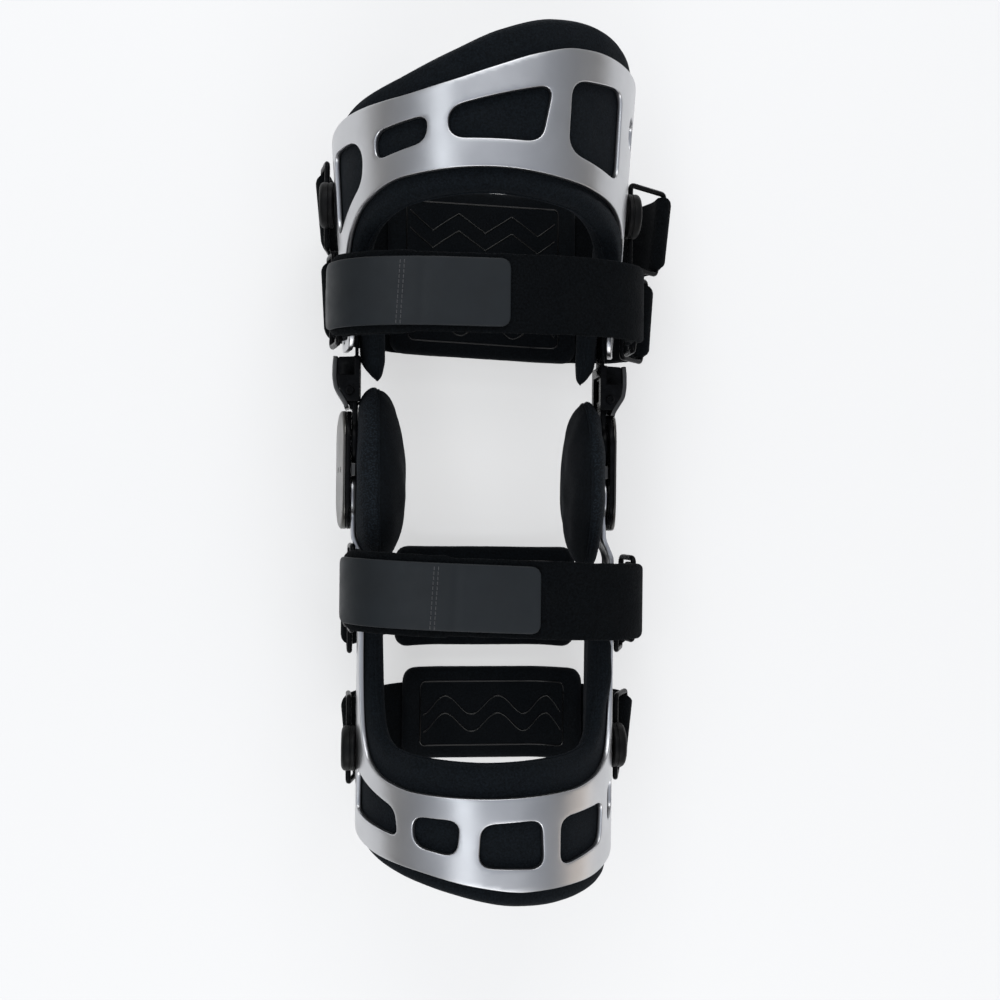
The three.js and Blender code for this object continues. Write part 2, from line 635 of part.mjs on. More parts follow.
function addButtonAndRings({ name, y, wireZ, ...strapNames }) {
  SIDES.forEach(({ side, sign }, index) => {
    const faces = [y - BUTTON.radius, y, y + BUTTON.radius].map(legSection);
    const base = Math.max(...faces.map(({ centre, halfWidth }) => halfWidth + sign * centre)) + GAP;
    const wireX = base + BUTTON.thick / 2;
    const { radius, thick, bevel } = BUTTON;
    const profile = [[0, 0], [radius, 0], [radius, thick - bevel], [radius - bevel, thick], [0, thick]];
    const disc = turned(profile).rotateZ(-Math.PI / 2).translate(base, y, 0);
    const slotHalf = WIRE_RADIUS + GAP;
    const slots = Object.values(wireZ).map((z) => block([wireX - slotHalf, wireX + slotHalf],
      [y - radius - PAST, y + radius + PAST], [z - slotHalf, z + slotHalf]));
    addPiece(`${name}_${side}`, onSide(cut(disc, slots), sign), BLACK_PLASTIC);
    for (const [place, z] of Object.entries(wireZ)) {
      const strap = straps[strapNames[place]];
      const [outerX, outerZ] = strap.wires[index];
      const level = strap.y + strap.slope * outerX;
      const halfLength = strap.width / 2 + 2 * GAP + WIRE_RADIUS;
      const held = new THREE.Vector2(sign * wireX, z);
      const ring = wireRing(held, new THREE.Vector2(outerX, outerZ), level, halfLength);
      addPiece(`${strap.name.replace('strap', 'ring')}_${side}`, ring, BLACK_METAL);
    }
  });
}

// Hinges: arms on two pins inside a body with a cover, a clevis to the thigh upright, a pad inside

function stadium(radius) {
  const outline = new THREE.Shape();
  outline.absarc(PIVOT_Y, 0, radius, -Math.PI / 2, Math.PI / 2, false);
  outline.absarc(-PIVOT_Y, 0, radius, Math.PI / 2, 1.5 * Math.PI, false);
  outline.closePath();
  return outline;
}

function screwHole() {
  const reach = CLEVIS.halfDepth + PAST;
  return turnedPin(SCREW_RADIUS + GAP, [-reach, reach], 'z').translate(CLEVIS.pinX, CLEVIS.pinY, 0);
}

function thighArm() {
  const reach = ARM_END_RADIUS * Math.SQRT1_2;
  const half = CLEVIS_SLOT.half - GAP;
  const top = CLEVIS_SLOT.top - GAP;
  const neck = CLEVIS.y[0] - ARM_NECK;
  const outline = new THREE.Shape().moveTo(PIVOT_Y + reach, reach);
  outline.absarc(PIVOT_Y, 0, ARM_END_RADIUS, 0.25 * Math.PI, 1.75 * Math.PI, false);
  outline.lineTo(neck, -half);
  outline.lineTo(top, -half);
  outline.lineTo(top, half);
  outline.lineTo(neck, half);
  outline.closePath();
  outline.holes.push(roundHole(PIVOT_Y, PIN_RADIUS + GAP));
  const knuckle = block([ARM_X[0], CLEVIS.x[1] - KNUCKLE_INSET], [CLEVIS.y[0] + GAP, top], [-half, half]);
  return cut(join(plate(outline, ARM_X), knuckle), [screwHole()]);
}

// The clevis seen from the front: a block with a bowed outer side, stepped back at its top
function clevis() {
  const { x: [inside, outside], y: [foot, head], halfDepth } = CLEVIS;
  const { in: bowIn, low, high, corner } = CLEVIS_BOW;
  const outline = new THREE.Shape().moveTo(inside, foot);
  outline.lineTo(outside - bowIn, foot);
  outline.quadraticCurveTo(outside, foot + low, outside, foot + high);
  outline.lineTo(outside, head - corner);
  outline.quadraticCurveTo(outside, head, outside - corner, head);
  outline.lineTo(inside, head);
  outline.closePath();
  const across = { depth: 2 * halfDepth, bevelEnabled: false, curveSegments: PLATE_STEPS };
  const body = new THREE.ExtrudeGeometry(outline, across).translate(0, 0, -halfDepth);
  const { x: tongueX, top, halfWidth, root } = CLEVIS_TONGUE;
  const tongue = block(tongueX, [head - root, top], [-halfWidth, halfWidth]);
  const slot = [-CLEVIS_SLOT.half, CLEVIS_SLOT.half];
  const fork = block([inside - PAST, outside + PAST], [foot - PAST, CLEVIS_SLOT.top], slot);
  const step = block([inside + CLEVIS_STEP.in, outside + PAST], [CLEVIS_SLOT.top, head + PAST],
    [halfDepth - CLEVIS_STEP.deep, halfDepth + PAST]);
  return cut(join(body, tongue), [fork, step, screwHole()]);
}

function clevisScrew() {
  const foot = -CLEVIS.halfDepth;
  const seat = CLEVIS.halfDepth + GAP;
  const top = seat + SCREW_HEAD.height;
  const shank = [[0, foot], [SCREW_RADIUS, foot], [SCREW_RADIUS, seat]];
  const head = [[SCREW_HEAD.radius, seat], [SCREW_HEAD.radius, top], [0, top]];
  return turned([...shank, ...head]).rotateX(Math.PI / 2).translate(CLEVIS.pinX, CLEVIS.pinY, 0);
}

function hingeCover() {
  return plate(stadium(HINGE_RADIUS), COVER_X, COVER_BEVEL);
}

function hingeBody() {
  const outline = stadium(HINGE_RADIUS);
  outline.holes.push(roundHole(PIVOT_Y, PIN_RADIUS + GAP), roundHole(-PIVOT_Y, PIN_RADIUS + GAP));
  return plate(outline, BODY_X);
}

function condylePad(level) {
  const profile = CONDYLE_PAD.map(({ x, scale }) => new THREE.Vector2(scale, -x));
  return new THREE.LatheGeometry(profile, PAD_SIDES)
    .rotateZ(Math.PI / 2)
    .scale(1, CONDYLE_HALF_HEIGHT, CONDYLE_HALF_DEPTH)
    .translate(0, level, 0);
}

function addHinge({ side, sign }) {
  addPiece(`thigh_arm_${side}`, onSide(thighArm(), sign), BLACK_METAL);
  addPiece(`clevis_${side}`, onSide(clevis(), sign), BLACK_METAL);
  addPiece(`clevis_screw_${side}`, onSide(clevisScrew(), sign), STEEL);
  addPiece(`hinge_cover_${side}`, onSide(hingeCover(), sign), GUNMETAL);
  addPiece(`hinge_body_${side}`, onSide(hingeBody(), sign), BLACK_METAL);
  for (const [level, y] of [['upper', PIVOT_Y], ['lower', -PIVOT_Y]]) {
    const pin = turnedPin(PIN_RADIUS, [ARM_X[0], BODY_X[1]], 'x').translate(0, y, 0);
    addPiece(`hinge_pin_${level}_${side}`, onSide(pin, sign), STEEL);
  }
  addPiece(`condyle_pad_${side}`, onSide(condylePad(CONDYLE_LEVEL[side]), sign), LINER_FABRIC);
}

// How far the liners stand clear of the clevis tongues and of the jog in the shin bars
const fadeBy = (height, from) => 1 - THREE.MathUtils.smoothstep(height, from, from + STAND_OFF_FADE);
const clearOfTongue = (y) => TONGUE_STAND_OFF * fadeBy(y, CLEVIS_TONGUE.top + PAST);
const clearOfJog = (y) => SHIN_TIP_STAND_OFF * fadeBy(-y, SHIN_JOG.to);

addThighCuff();
addShinCuff();
addLiner('thigh_liner', arch(THIGH_LINER_ARCH), edge(THIGH_LINER_TOP), THIGH_LINER_ROWS, clearOfTongue);
addLiner('shin_liner', edge(SHIN_LINER_BOTTOM), arch(SHIN_LINER_ARCH), SHIN_LINER_ROWS, clearOfJog);
FRONT_STRAPS.forEach(addFrontStrap);
REAR_STRAPS.forEach(addRearStrap);
BUTTONS.forEach(addButtonAndRings);
SIDES.forEach(addHinge);

// The brace lies on the ground with the middle of its outline at the origin
const outline = new THREE.Box3().setFromObject(brace);
const middle = outline.getCenter(new THREE.Vector3());
brace.position.set(-middle.x, -middle.y, -outline.min.z);

export default brace;
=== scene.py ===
import json
import math

import bmesh
import bpy
import numpy as np
from mathutils import Matrix, Vector
from mathutils.bvhtree import BVHTree
from mathutils.geometry import delaunay_2d_cdt


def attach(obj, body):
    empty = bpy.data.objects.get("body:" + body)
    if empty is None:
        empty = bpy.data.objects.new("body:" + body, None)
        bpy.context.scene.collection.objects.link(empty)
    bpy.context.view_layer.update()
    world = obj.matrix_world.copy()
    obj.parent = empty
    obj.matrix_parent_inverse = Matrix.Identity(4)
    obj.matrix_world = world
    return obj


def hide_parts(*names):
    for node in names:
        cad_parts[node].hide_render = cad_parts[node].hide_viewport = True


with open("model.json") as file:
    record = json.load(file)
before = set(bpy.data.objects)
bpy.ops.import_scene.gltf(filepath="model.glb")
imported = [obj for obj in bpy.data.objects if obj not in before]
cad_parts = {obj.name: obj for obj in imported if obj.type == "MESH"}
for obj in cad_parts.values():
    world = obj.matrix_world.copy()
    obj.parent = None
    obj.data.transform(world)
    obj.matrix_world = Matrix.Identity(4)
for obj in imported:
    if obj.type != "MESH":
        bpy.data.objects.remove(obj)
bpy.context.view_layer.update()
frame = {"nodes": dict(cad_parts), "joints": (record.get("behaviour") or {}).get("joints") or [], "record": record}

bl_info = {
    "name": "Hinged Knee Brace",
    "version": (1, 0, 0),
    "blender": (4, 5, 0),
    "location": "View3D > Sidebar > Knee Brace",
    "description": "Dresses a hinged knee brace: windowed metal, padding, straps and hinges",
    "category": "Object",
}

JOINT_AT = {joint["name"]: joint["pos_m"] for joint in frame["joints"]}
KNEE = np.array([
    (JOINT_AT["knee_upper_left"][0] + JOINT_AT["knee_upper_right"][0]) / 2,
    (JOINT_AT["knee_upper_left"][1] + JOINT_AT["knee_lower"][1]) / 2,
    JOINT_AT["knee_upper_left"][2],
])
BODY_OF = {
    node: body
    for body, nodes in frame["record"]["behaviour"]["bodies"].items()
    for node in nodes
}
MM = 0.001

# All sizes below are in millimetres from the middle of the knee.

# The leg section that the metal follows
THIGH_DEPTH = 66.0
SHIN_DEPTH = 55.0
UPRIGHT_HALF_SPACING = 67.0
UPRIGHT_END_Y = 58.0
THIGH_FLARE = 0.071
ARM_HALF_SPACING = 62.9
SHIN_HALF_WIDTH = 63.8
SHIN_SHIFT = 4.2
JOG_FROM, JOG_TO = 31.0, 44.0
# How far the uprights' front edges lean in, and the heights between which that fades
UPRIGHT_LEAN, UPRIGHT_HALF_DEPTH = 2.2, 11.0
LEAN_FROM, LEAN_TO = 70.0, 95.0
# Level of the ground, and the running clearance between pieces
GROUND = -68.0
GAP = 0.3
# How far the padding stands off the metal, at the tongues and at the shin's tips too, and how that fades
LINER_STAND_OFF = 0.7
TONGUE_STAND_OFF, TONGUE_TOP = 5.4, 78.0
SHIN_TIP_STAND_OFF = 1.4
STAND_OFF_FADE = 16.0
# The heights between which the padding's tongues thin out, and by what share
TIP_POINT, TIP_ROOT, TIP_TAPER = 43.0, 55.0, 0.45
# Millimetres for each degree on the flat patterns
THIGH_PER_DEGREE = math.radians(THIGH_DEPTH)
SHIN_PER_DEGREE = math.radians(SHIN_DEPTH)
# The angles at which the metal and the padding end on both sides of the leg, those between which the shin's
# arch runs, and the points along such edges
METAL_ENDS, LINER_ENDS = (-10.0, 190.0), (-12.0, 192.0)
SHIN_ARCH_ENDS = (169.3, 10.7)
EDGE_STEPS, ARCH_STEPS = 2400, 6000
# How far the shin's bars run down into its sheet, and the step from there to its arch
BAR_OVERLAP, ARCH_MARGIN = 8, 0.5
# Spacing of the points on each kind of panel, and the rounding of the edges
SHEET_SPACING, LINER_SPACING, PAD_SPACING, TAB_SPACING = 1.7, 2.2, 2.0, 1.6
COVER_SPACING, PLATE_SPACING, CLEVIS_SPACING, CHEEK_SPACING = 1.2, 1.6, 1.2, 0.8
TAB_EDGE, PLATE_EDGE, CLEVIS_EDGE = 0.6, 0.4, 0.5
STOP_EDGE, KNUCKLE_EDGE, TONGUE_EDGE = 0.5, 1.2, 0.4
# Shares of that rounding at which sheets, soft pieces, tabs, plates and covers have rows of points
SHEET_ROWS, SOFT_ROWS, TAB_ROWS = (0.25, 0.6, 1.0), (0.1, 0.3, 0.6, 1.0), (0.3, 0.7, 1.0)
PLATE_ROWS, COVER_ROWS = (0.5, 1.0), (0.08, 0.3, 0.65, 1.0)
# Points on each rounded corner
CORNER_STEPS = 9

# Hinges
PIVOT_Y = 13.0
HINGE_RADIUS = 16.0
ARM_END_RADIUS = 12.6
PIN_RADIUS = 4.0
ARM_X = (60.2, 62.9)
BODY_X = (63.2, 65.4)
COVER_X = (65.6, 71.4)
COVER_EDGE, COVER_WEDGE = 2.2, 4.8
COVER_HOLES, COVER_HOLE_RADIUS = (-4.5, 4.5), 1.6
STOP_X, STOP_HALF_HEIGHT, STOP_Z = (60.5, 63.1), 3.2, (9.6, 13.6)
# How far cutters reach past a piece, and beyond the brace's side
CUT_PAST, CUT_OUT_TO = 2.0, 80.0
SHIN_BAR_HALF_WIDTH = 10.0
# How far below the clevis the hinge arm takes its full width
ARM_NECK = 3.0
CLEVIS_INSIDE, CLEVIS_Y, CLEVIS_HALF_DEPTH = 59.0, (33.0, 55.2), 12.0
CLEVIS_SLOT_HALF, CLEVIS_SLOT_TOP = 7.5, 50.0
# The step in the clevis's front: its level, its depth and the lip left inside it
CLEVIS_STEP_Y, CLEVIS_STEP, CLEVIS_LIP = 46.0, 3.0, 3.0
CLEVIS_PIN = (63.8, 38.2)
# How far each clevis sits along the leg from its drawn place, as fitted
CLEVIS_SHIFT = {"left": 0.0, "right": -2.0}
# The bent cheek outside the clevis as (distance from the middle, height), its thickness, half depth and gap
CHEEK_LINE = [(65.4, 29.8), (65.8, 32), (68.0, 35.5), (70.6, 39.5), (71.4, 45), (71.3, 51), (70.8, 55.2)]
CHEEK, CHEEK_HALF_DEPTH, CHEEK_GAP = 2.2, 10.6, 0.1
NECK = [(60.2, 29.8), (64.0, 29.8), (64.6, 32.5), (66.4, 35.0), (60.2, 35.0)]
NECK_HALF_DEPTH = 7.0
TONGUE_X, TONGUE_Y, TONGUE_HALF_DEPTH = (60.2, 61.6), (47.0, 76.0), 8.0
SCREW_RADIUS, SCREW_HEAD_RADIUS, SCREW_HEAD = 1.6, 2.1, 0.9

# Edges of the metal and the padding as (angle round the leg, height)
THIGH_ARCH = [
    (-10, 63), (-6, 58.4), (0, 58), (6, 58.4), (9.5, 63), (12, 75), (16, 92), (20, 103),
    (25, 111), (36, 121.5), (56, 130), (90, 133),
]
# The arch is cut back further on the outer side of the leg
THIGH_ARCH_OUTER = [
    (-10, 63), (-6, 58.4), (0, 58), (6, 58.4), (9.5, 63), (10.3, 75), (10.9, 92), (11.8, 105), (14, 112.5),
    (20, 117.3), (25, 120.5), (31.5, 124), (38, 126.3), (44.5, 127.8), (56, 130), (90, 133),
]
THIGH_TOP = [
    (-10, 165), (-4, 182), (10, 190), (45, 192), (60, 190.5), (75, 185), (90, 177.5),
    (105, 171), (124, 166), (156, 163.5), (180, 158), (190, 142),
]
THIGH_LINER_ARCH = [
    (-12, 52), (0, 44.5), (9, 51), (13, 70), (18, 88), (25, 101), (38, 112.5), (57, 120), (90, 123.5),
]
THIGH_LINER_TOP = [
    (-12, 168), (0, 190), (16, 200), (50, 206), (67, 204), (88, 196), (106, 186), (127, 177),
    (156, 169.5), (180, 161), (192, 142),
]
SHIN_ARCH = [
    (10.5, -31), (10.8, -47), (12, -92), (15, -116), (19, -128), (26, -138), (40, -145),
    (56, -148), (90, -149),
]
SHIN_BOTTOM = [
    (-10, -172), (0, -182), (23, -188), (47, -191.5), (75, -192), (96, -189), (122, -183.5),
    (154, -179), (180, -173), (190, -164),
]
SHIN_LINER_ARCH = [
    (-12, -58), (0, -53), (9, -58), (13, -86), (18, -110), (25, -124), (38, -131), (57, -133.5), (90, -134.5),
]
SHIN_LINER_ARCH_OUTER = [
    (-12, -58), (0, -53), (9, -57), (15, -72), (19, -86), (21.5, -104), (27, -122), (38, -130.5), (57, -133.5),
    (90, -134.5),
]
# How far the padding's free border bulges beside the metal on the outer side, the heights between which the
# bulge begins and those between which it ends
LINER_BULGE = {
    "thigh_liner": (2.9, 88.0, 100.0, 128.0, 137.0),
    "shin_liner": (3.4, -76.0, -86.0, -98.0, -122.0),
}
# Distances from the metal's edge over which the bulge rises, and angles over which it fades to the front
BULGE_FROM, BULGE_TO = 0.8, 4.0
BULGE_ANGLES = (50.0, 75.0)
SHIN_LINER_BOTTOM = [
    (-12, -180), (0, -192), (20, -198), (60, -201), (79, -200), (110, -194), (150, -186),
    (180, -179), (192, -171),
]

# Windows in the metal: corner radius, then corners as (angle, height)
THIGH_WINDOWS = [
    (5.5, [(148, 151), (143, 144), (144.5, 131), (166.5, 111.5), (172, 118), (169.5, 151)]),
    (5.5, [(136, 152), (113.5, 156.5), (114.5, 144.5), (136, 139)]),
    (7.0, [(106.5, 159), (69, 172), (73, 145.5), (106, 145.5)]),
    (8.0, [(61.5, 176), (33, 180), (32, 136.5), (62, 143.5)]),
    (6.0, [(22, 173), (7, 173), (7, 158), (22, 158)]),
]
SHIN_WINDOWS = [
    (4.5, [(170, -144), (135, -156.5), (133, -169.5), (171, -164.5)]),
    (6.0, [(125.5, -158.5), (104, -159), (105.5, -175.5), (125, -172)]),
    (6.0, [(95.5, -160.5), (69.5, -159.5), (68.5, -182), (96.5, -180)]),
    (6.0, [(60.5, -160), (31, -157.2), (32.5, -177), (60.5, -182.5)]),
    (5.0, [(24.5, -151.5), (8.5, -150.5), (8.5, -166), (24.5, -170)]),
]
UPRIGHT_HOLE_RADIUS, UPRIGHT_HOLE_HEIGHTS = 2.3, (64.0, 71.5)

# Straps: level, slope, width and the wires at both ends as (x, z). The front ones have the height of their
# crown and the places where the tab and the doubled layer end, the rear ones their lean and their pad.
FRONT_STRAPS = {
    "thigh_strap_front": dict(
        y=79.5, slope=0, width=36, wires=((-69, 24), (73, 22)), crown=53, tab_end=9, layer_end=-34.5),
    "shin_strap_front": dict(
        y=-59, slope=-0.036, width=36, wires=((-61.5, 20), (74.5, 20)), crown=47, tab_end=25, layer_end=-18),
}
FRONT_FOLDS = (46, 24)
FRONT_TAB_WIDTH = 31.0
REAR_STRAPS = {
    "thigh_strap_upper": dict(y=129, slope=-0.028, lean=0.1, width=38, wires=((-77.5, -20), (96, -20)),
                              pad="thigh_pad_upper", pad_width=46, pad_y=133.5, pad_shift=-4),
    "thigh_strap_lower": dict(y=84, slope=-0.04, lean=0.06, width=38, wires=((-75, -22), (88, -22)),
                              pad="thigh_pad_lower", pad_width=44, pad_y=86, pad_shift=0),
    "calf_strap_upper": dict(y=-69, slope=0, width=38, wires=((-64, -20), (77, -20)),
                             pad="calf_pad_upper", pad_width=55, pad_y=-67, pad_shift=3),
    "calf_strap_lower": dict(y=-134, slope=0, lean=0.1, width=38, wires=((-62, -20), (78, -20)),
                             pad="calf_pad_lower", pad_width=51, pad_y=-131.5, pad_shift=7.0),
}
REAR_FOLD = 36.0
PAD_HALF_LENGTH = 54.0
# Curve of a strap: the share that lies flat, how far it climbs straight and how it eases into the flat
STRAP_FLAT, STRAP_CLIMB, STRAP_EASE = 0.3, 0.72, 0.45
# Ends folded back: the gap between the layers, the length over which they close, the rounding of the ends
STRAP_LAYER_GAP = 0.6
FOLD_OPENING = 18.0
STRAP_END_ROUNDING = 4.0
# How much wider a front strap is where it lies double, and half the step at the layer's end
STRAP_LAYER_WIDER, STRAP_LAYER_STEP = 1.6, 0.8
# Height above the ground at which a rear strap begins to lean, and the unevenness of the selvedges
STRAP_LEAN_FROM, STRAP_RUFFLE = 12.0, 0.22
# Rear pads: corners, the frame of ridges inside the border and its corners, the waves in it
PAD_CORNER = 9.0
GRIP_INSET_X, GRIP_INSET_Y, GRIP_CORNER = 10.0, 8.0, 4.0
GRIP_LEVELS, GRIP_HEIGHT, GRIP_PERIODS, GRIP_MARGIN = (-5.0, 4.5), 5.0, 3.0, 2.0
# The ridges are dropped on the pad from a height, at most so far, and sink in by a share of their radius
GRIP_DROP, GRIP_DROP_LIMIT, GRIP_SUNK = 5.0, 12.0, 0.2
# Closing tabs: corners at the fold and at the free end; place, depth, width and slant of the dent beyond the
# strap's doubled layer; place, rows, slant and margins of the seam, the pitch of its stitches and its thread
TAB_FOLD_CORNER, TAB_END_CORNER = 9.0, 5.0
DENT_AFTER, DENT_DEPTH, DENT_WIDTH, DENT_SLANT = 4.0, 0.32, 1.7, 0.05
SEAM_BEFORE, SEAM_ROWS, SEAM_SLANT, SEAM_MARGINS = 6.5, (0.0, 1.9), 0.06, (1.4, 1.2)
STITCH_PITCH, THREAD_RADIUS = 1.5, 0.2
RING_CORNER = 2.6
# The wire is drawn a touch thinner than the room left for it
RING_WIRE_SHARE = 0.97
BUTTON_RADIUS, BUTTON_THICK = 11.0, 6.6
BUTTONS = {
    "thigh_button_upper": dict(y=130, rear=("thigh_strap_upper", -4)),
    "thigh_button_lower": dict(y=80, front=("thigh_strap_front", 5), rear=("thigh_strap_lower", -5)),
    "calf_button_upper": dict(y=-66.5, front=("shin_strap_front", 5), rear=("calf_strap_upper", -5)),
    "calf_button_lower": dict(y=-137, rear=("calf_strap_lower", -4)),
}

# Pads at the sides of the knee: their back, and their profile as (distance from the middle, share of outline)
CONDYLE_BACK = 60.0
CONDYLE_PROFILE = [
    (60.0, 0.0), (60.0, 0.33), (60.0, 0.64), (59.6, 0.755), (58.7, 0.845), (56.9, 0.92), (54.7, 0.968),
    (52.6, 0.99), (51.0, 0.985), (50.1, 0.963), (49.6, 0.945), (49.1, 0.953), (47.8, 0.948), (45.6, 0.912),
    (43.1, 0.835), (40.7, 0.715), (38.9, 0.565), (37.7, 0.385), (37.0, 0.19), (36.7, 0.0),
]
CONDYLE_SEAM = (49.6, 0.958)
CONDYLE_HALF_DEPTH = 31.0
CONDYLE_CREASE_DEPTH, CONDYLE_CREASE_PITCH = 0.35, 0.11
CONDYLE_SIDES, CONDYLE_PIPING_STEPS = 84, 150
# Level of the middle, half height, share of the profile's thickness and how much fuller the lower half is
CONDYLE_PADS = {"left": (-2.5, 44.0, 1.02, 0.07), "right": (-6.5, 43.0, 0.76, -0.02)}
SIDES = (("left", -1), ("right", 1))
# Pressure that swells the padding, and the pressure and the swell of the rear pads
PADDING_PRESSURE = 1.5
REAR_PAD_PRESSURE, REAR_PAD_SWELL = 1.2, 0.7

# Camera: the place it looks at, its distance, its lean across the leg and the picture's turn
CAMERA_TARGET = (10.8, -14.0)
CAMERA_DISTANCE = 558.5
CAMERA_ROLL = math.radians(6.0)
PICTURE_TURN = math.radians(0.6)
FOCAL_LENGTH, SENSOR_WIDTH = 40.2, 36.0

# Tint of the sheen on the cloths
SHEEN_TINT = (0.72, 0.78, 0.9, 1.0)

# Floor, in metres: half its side and its level, then the share of light that it lets through
FLOOR_HALF, FLOOR_LEVEL, FLOOR_CLEAR = 4.0, -0.0006, 0.5
# Lights: place from the knee in metres, width and length, watts, direction of the length and colour
LIGHTS = {
    "head light": ((0.0, 1.1, 0.9), (0.7, 1.2), 7.2, (1.0, 0.0, 0.0), (1.0, 1.0, 1.0)),
    "foot light": ((0.0, -1.1, 0.9), (0.7, 1.2), 7.2, (1.0, 0.0, 0.0), (1.0, 1.0, 1.0)),
    "strip light": ((-0.46, 0.0, 1.05), (0.2, 1.7), 2.0, (-0.31, 1.0, 0.0), (0.93, 0.97, 1.0)),
    "warm card": ((1.0, -0.5, 0.18), (0.5, 0.5), 0.5, (1.0, 0.0, 0.0), (1.0, 0.86, 0.74)),
}
# Studio surroundings from below (0) over the horizon (0.5) to overhead (1)
SKY_STOPS = [
    (0.0, (1.08, 1.08, 1.08)), (0.485, (1.08, 1.08, 1.08)), (0.515, (0.24, 0.226, 0.208)),
    (0.76, (0.3, 0.31, 0.33)), (1.0, (0.5, 0.53, 0.59)),
]


def length(name, description, millimetres):
    """A length that the user can change, kept in metres."""
    return bpy.props.FloatProperty(
        name=name, description=description, default=millimetres * MM, min=0.0, precision=4,
        subtype="DISTANCE", unit="LENGTH")


def tint(name, description, rgb):
    """A colour that the user can change."""
    return bpy.props.FloatVectorProperty(
        name=name, description=description, default=rgb, min=0.0, max=1.0, size=3, subtype="COLOR")


class BraceSizes(bpy.types.PropertyGroup):
    """Thicknesses and radii of the brace's layers and trimmings."""
    sheet: length("Sheet", "Thickness of the aluminium cuffs", 2.5)
    sheet_edge: length("Sheet edge", "Rounding of the edges of the aluminium", 0.55)
    liner: length("Liner", "Thickness of the padded liners", 9.0)
    strap: length("Strap", "Thickness of the loop-faced straps", 2.2)
    tab: length("Tab", "Thickness of the coated closing tabs", 1.6)
    pad: length("Pad", "Thickness of the pads on the rear straps", 7.0)
    wire: length("Wire", "Radius of the ring wire", 1.4)
    ridge: length("Grip ridge", "Radius of the grip ridges on the pads", 0.5)
    stitch: length("Stitch", "Length of one stitch", 1.5)
    puff: length("Puff", "How far the padding may swell", 1.6)
    piping: length("Piping", "Radius of the piping round the padding", 0.55)


class BraceColours(bpy.types.PropertyGroup):
    """Colours of the brace's finishes."""
    aluminium: tint("Aluminium", "Satin aluminium of the cuffs", (0.55, 0.555, 0.57))
    steel: tint("Steel", "Pins of the hinges", (0.58, 0.58, 0.6))
    blackened: tint("Blackened steel", "Cheeks of the clevises, stops of the hinges", (0.08, 0.079, 0.077))
    gunmetal: tint("Gunmetal", "Covers of the hinges", (0.084, 0.0822, 0.0775))
    black_metal: tint(
        "Black metal", "Rings, arms, clevises, their screws and hinge bodies", (0.0035, 0.0038, 0.0044))
    plastic: tint("Plastic", "Buttons that hold the rings", (0.0026, 0.0027, 0.003))
    liner: tint("Liner", "Cloth of the padding", (0.0042, 0.006, 0.008))
    strap: tint("Strap", "Loop face of the straps", (0.0021, 0.0028, 0.0035))
    tab: tint("Tab", "Coated face of the closing tabs", (0.0085, 0.0115, 0.0142))
    thread: tint("Thread", "Sewing thread", (0.05, 0.052, 0.057))
    ridge: tint("Grip ridge", "Ridges on the rear pads", (0.0022, 0.0023, 0.0025))
    floor: tint("Floor", "Surface that the brace lies on", (0.93, 0.93, 0.93))


# Curves and sections

def smoothstep(value, low, high):
    """0 below low, 1 above high, eased between them."""
    share = np.clip((np.asarray(value, float) - low) / (high - low), 0.0, 1.0)
    return share * share * (3.0 - 2.0 * share)


def around_leg(angle, y, out):
    """Points at angles round the leg and heights, standing out from the metal's outer face."""
    y = np.asarray(y, float)
    turn = np.radians(np.asarray(angle, float))
    jog = smoothstep(-y, JOG_FROM, JOG_TO)
    thigh = y > 0
    centre = np.where(thigh, 0.0, SHIN_SHIFT * jog)
    half_width = np.where(
        thigh,
        UPRIGHT_HALF_SPACING + (y - UPRIGHT_END_Y) * THIGH_FLARE,
        ARM_HALF_SPACING + (SHIN_HALF_WIDTH - ARM_HALF_SPACING) * jog)
    depth = np.where(thigh, THIGH_DEPTH, SHIN_DEPTH)
    lean = UPRIGHT_LEAN * (1.0 - smoothstep(y, LEAN_FROM, LEAN_TO)) * thigh
    half_width = half_width - lean * np.clip(depth * np.sin(turn) / UPRIGHT_HALF_DEPTH, -1.0, 1.0)
    flat = np.where(thigh, 0.0, 1.0 - jog)
    across = np.cos(turn) * (1.0 - flat) + np.sign(np.cos(turn)) * flat
    return np.column_stack([centre + (half_width + out) * across, y, (depth + out) * np.sin(turn)])


def edge(rows):
    """A smooth edge through a table's rows that never swings past them."""
    angles, heights = np.array(rows, float).T
    steps = np.diff(heights) / np.diff(angles)
    before = np.concatenate([[0.0], steps])
    after = np.concatenate([steps, [0.0]])
    both = before * after
    total = np.where(both > 0, before + after, 1.0)
    slopes = np.where(both > 0, 2.0 * both / total, 0.0)

    def at(angle):
        k = np.clip(np.searchsorted(angles, angle, side="right") - 1, 0, len(angles) - 2)
        span = angles[k + 1] - angles[k]
        t = np.clip((angle - angles[k]) / span, 0.0, 1.0)
        bend = t * t * (3.0 - 2.0 * t)
        lead = t * (1.0 - t) ** 2 * slopes[k] * span
        trail = t * t * (1.0 - t) * slopes[k + 1] * span
        return heights[k] + (heights[k + 1] - heights[k]) * bend + lead - trail

    return at


def arch(inner_rows, outer_rows=None):
    """An edge over both sides of the leg, alike unless the outer side has rows of its own."""
    inner, outer = edge(inner_rows), edge(outer_rows or inner_rows)
    return lambda angle: np.where(angle > 90, inner(180 - angle), outer(angle))


def resampled(points, spacing, closed=True):
    """Points at an even spacing along a line."""
    line = np.asarray(points, float)
    if closed:
        line = np.vstack([line, line[:1]])
    at = np.concatenate([[0.0], np.cumsum(np.linalg.norm(np.diff(line, axis=0), axis=1))])
    count = max(8, int(round(at[-1] / spacing)))
    wanted = np.linspace(0.0, at[-1], count, endpoint=not closed)
    return np.column_stack([np.interp(wanted, at, column) for column in line.T])


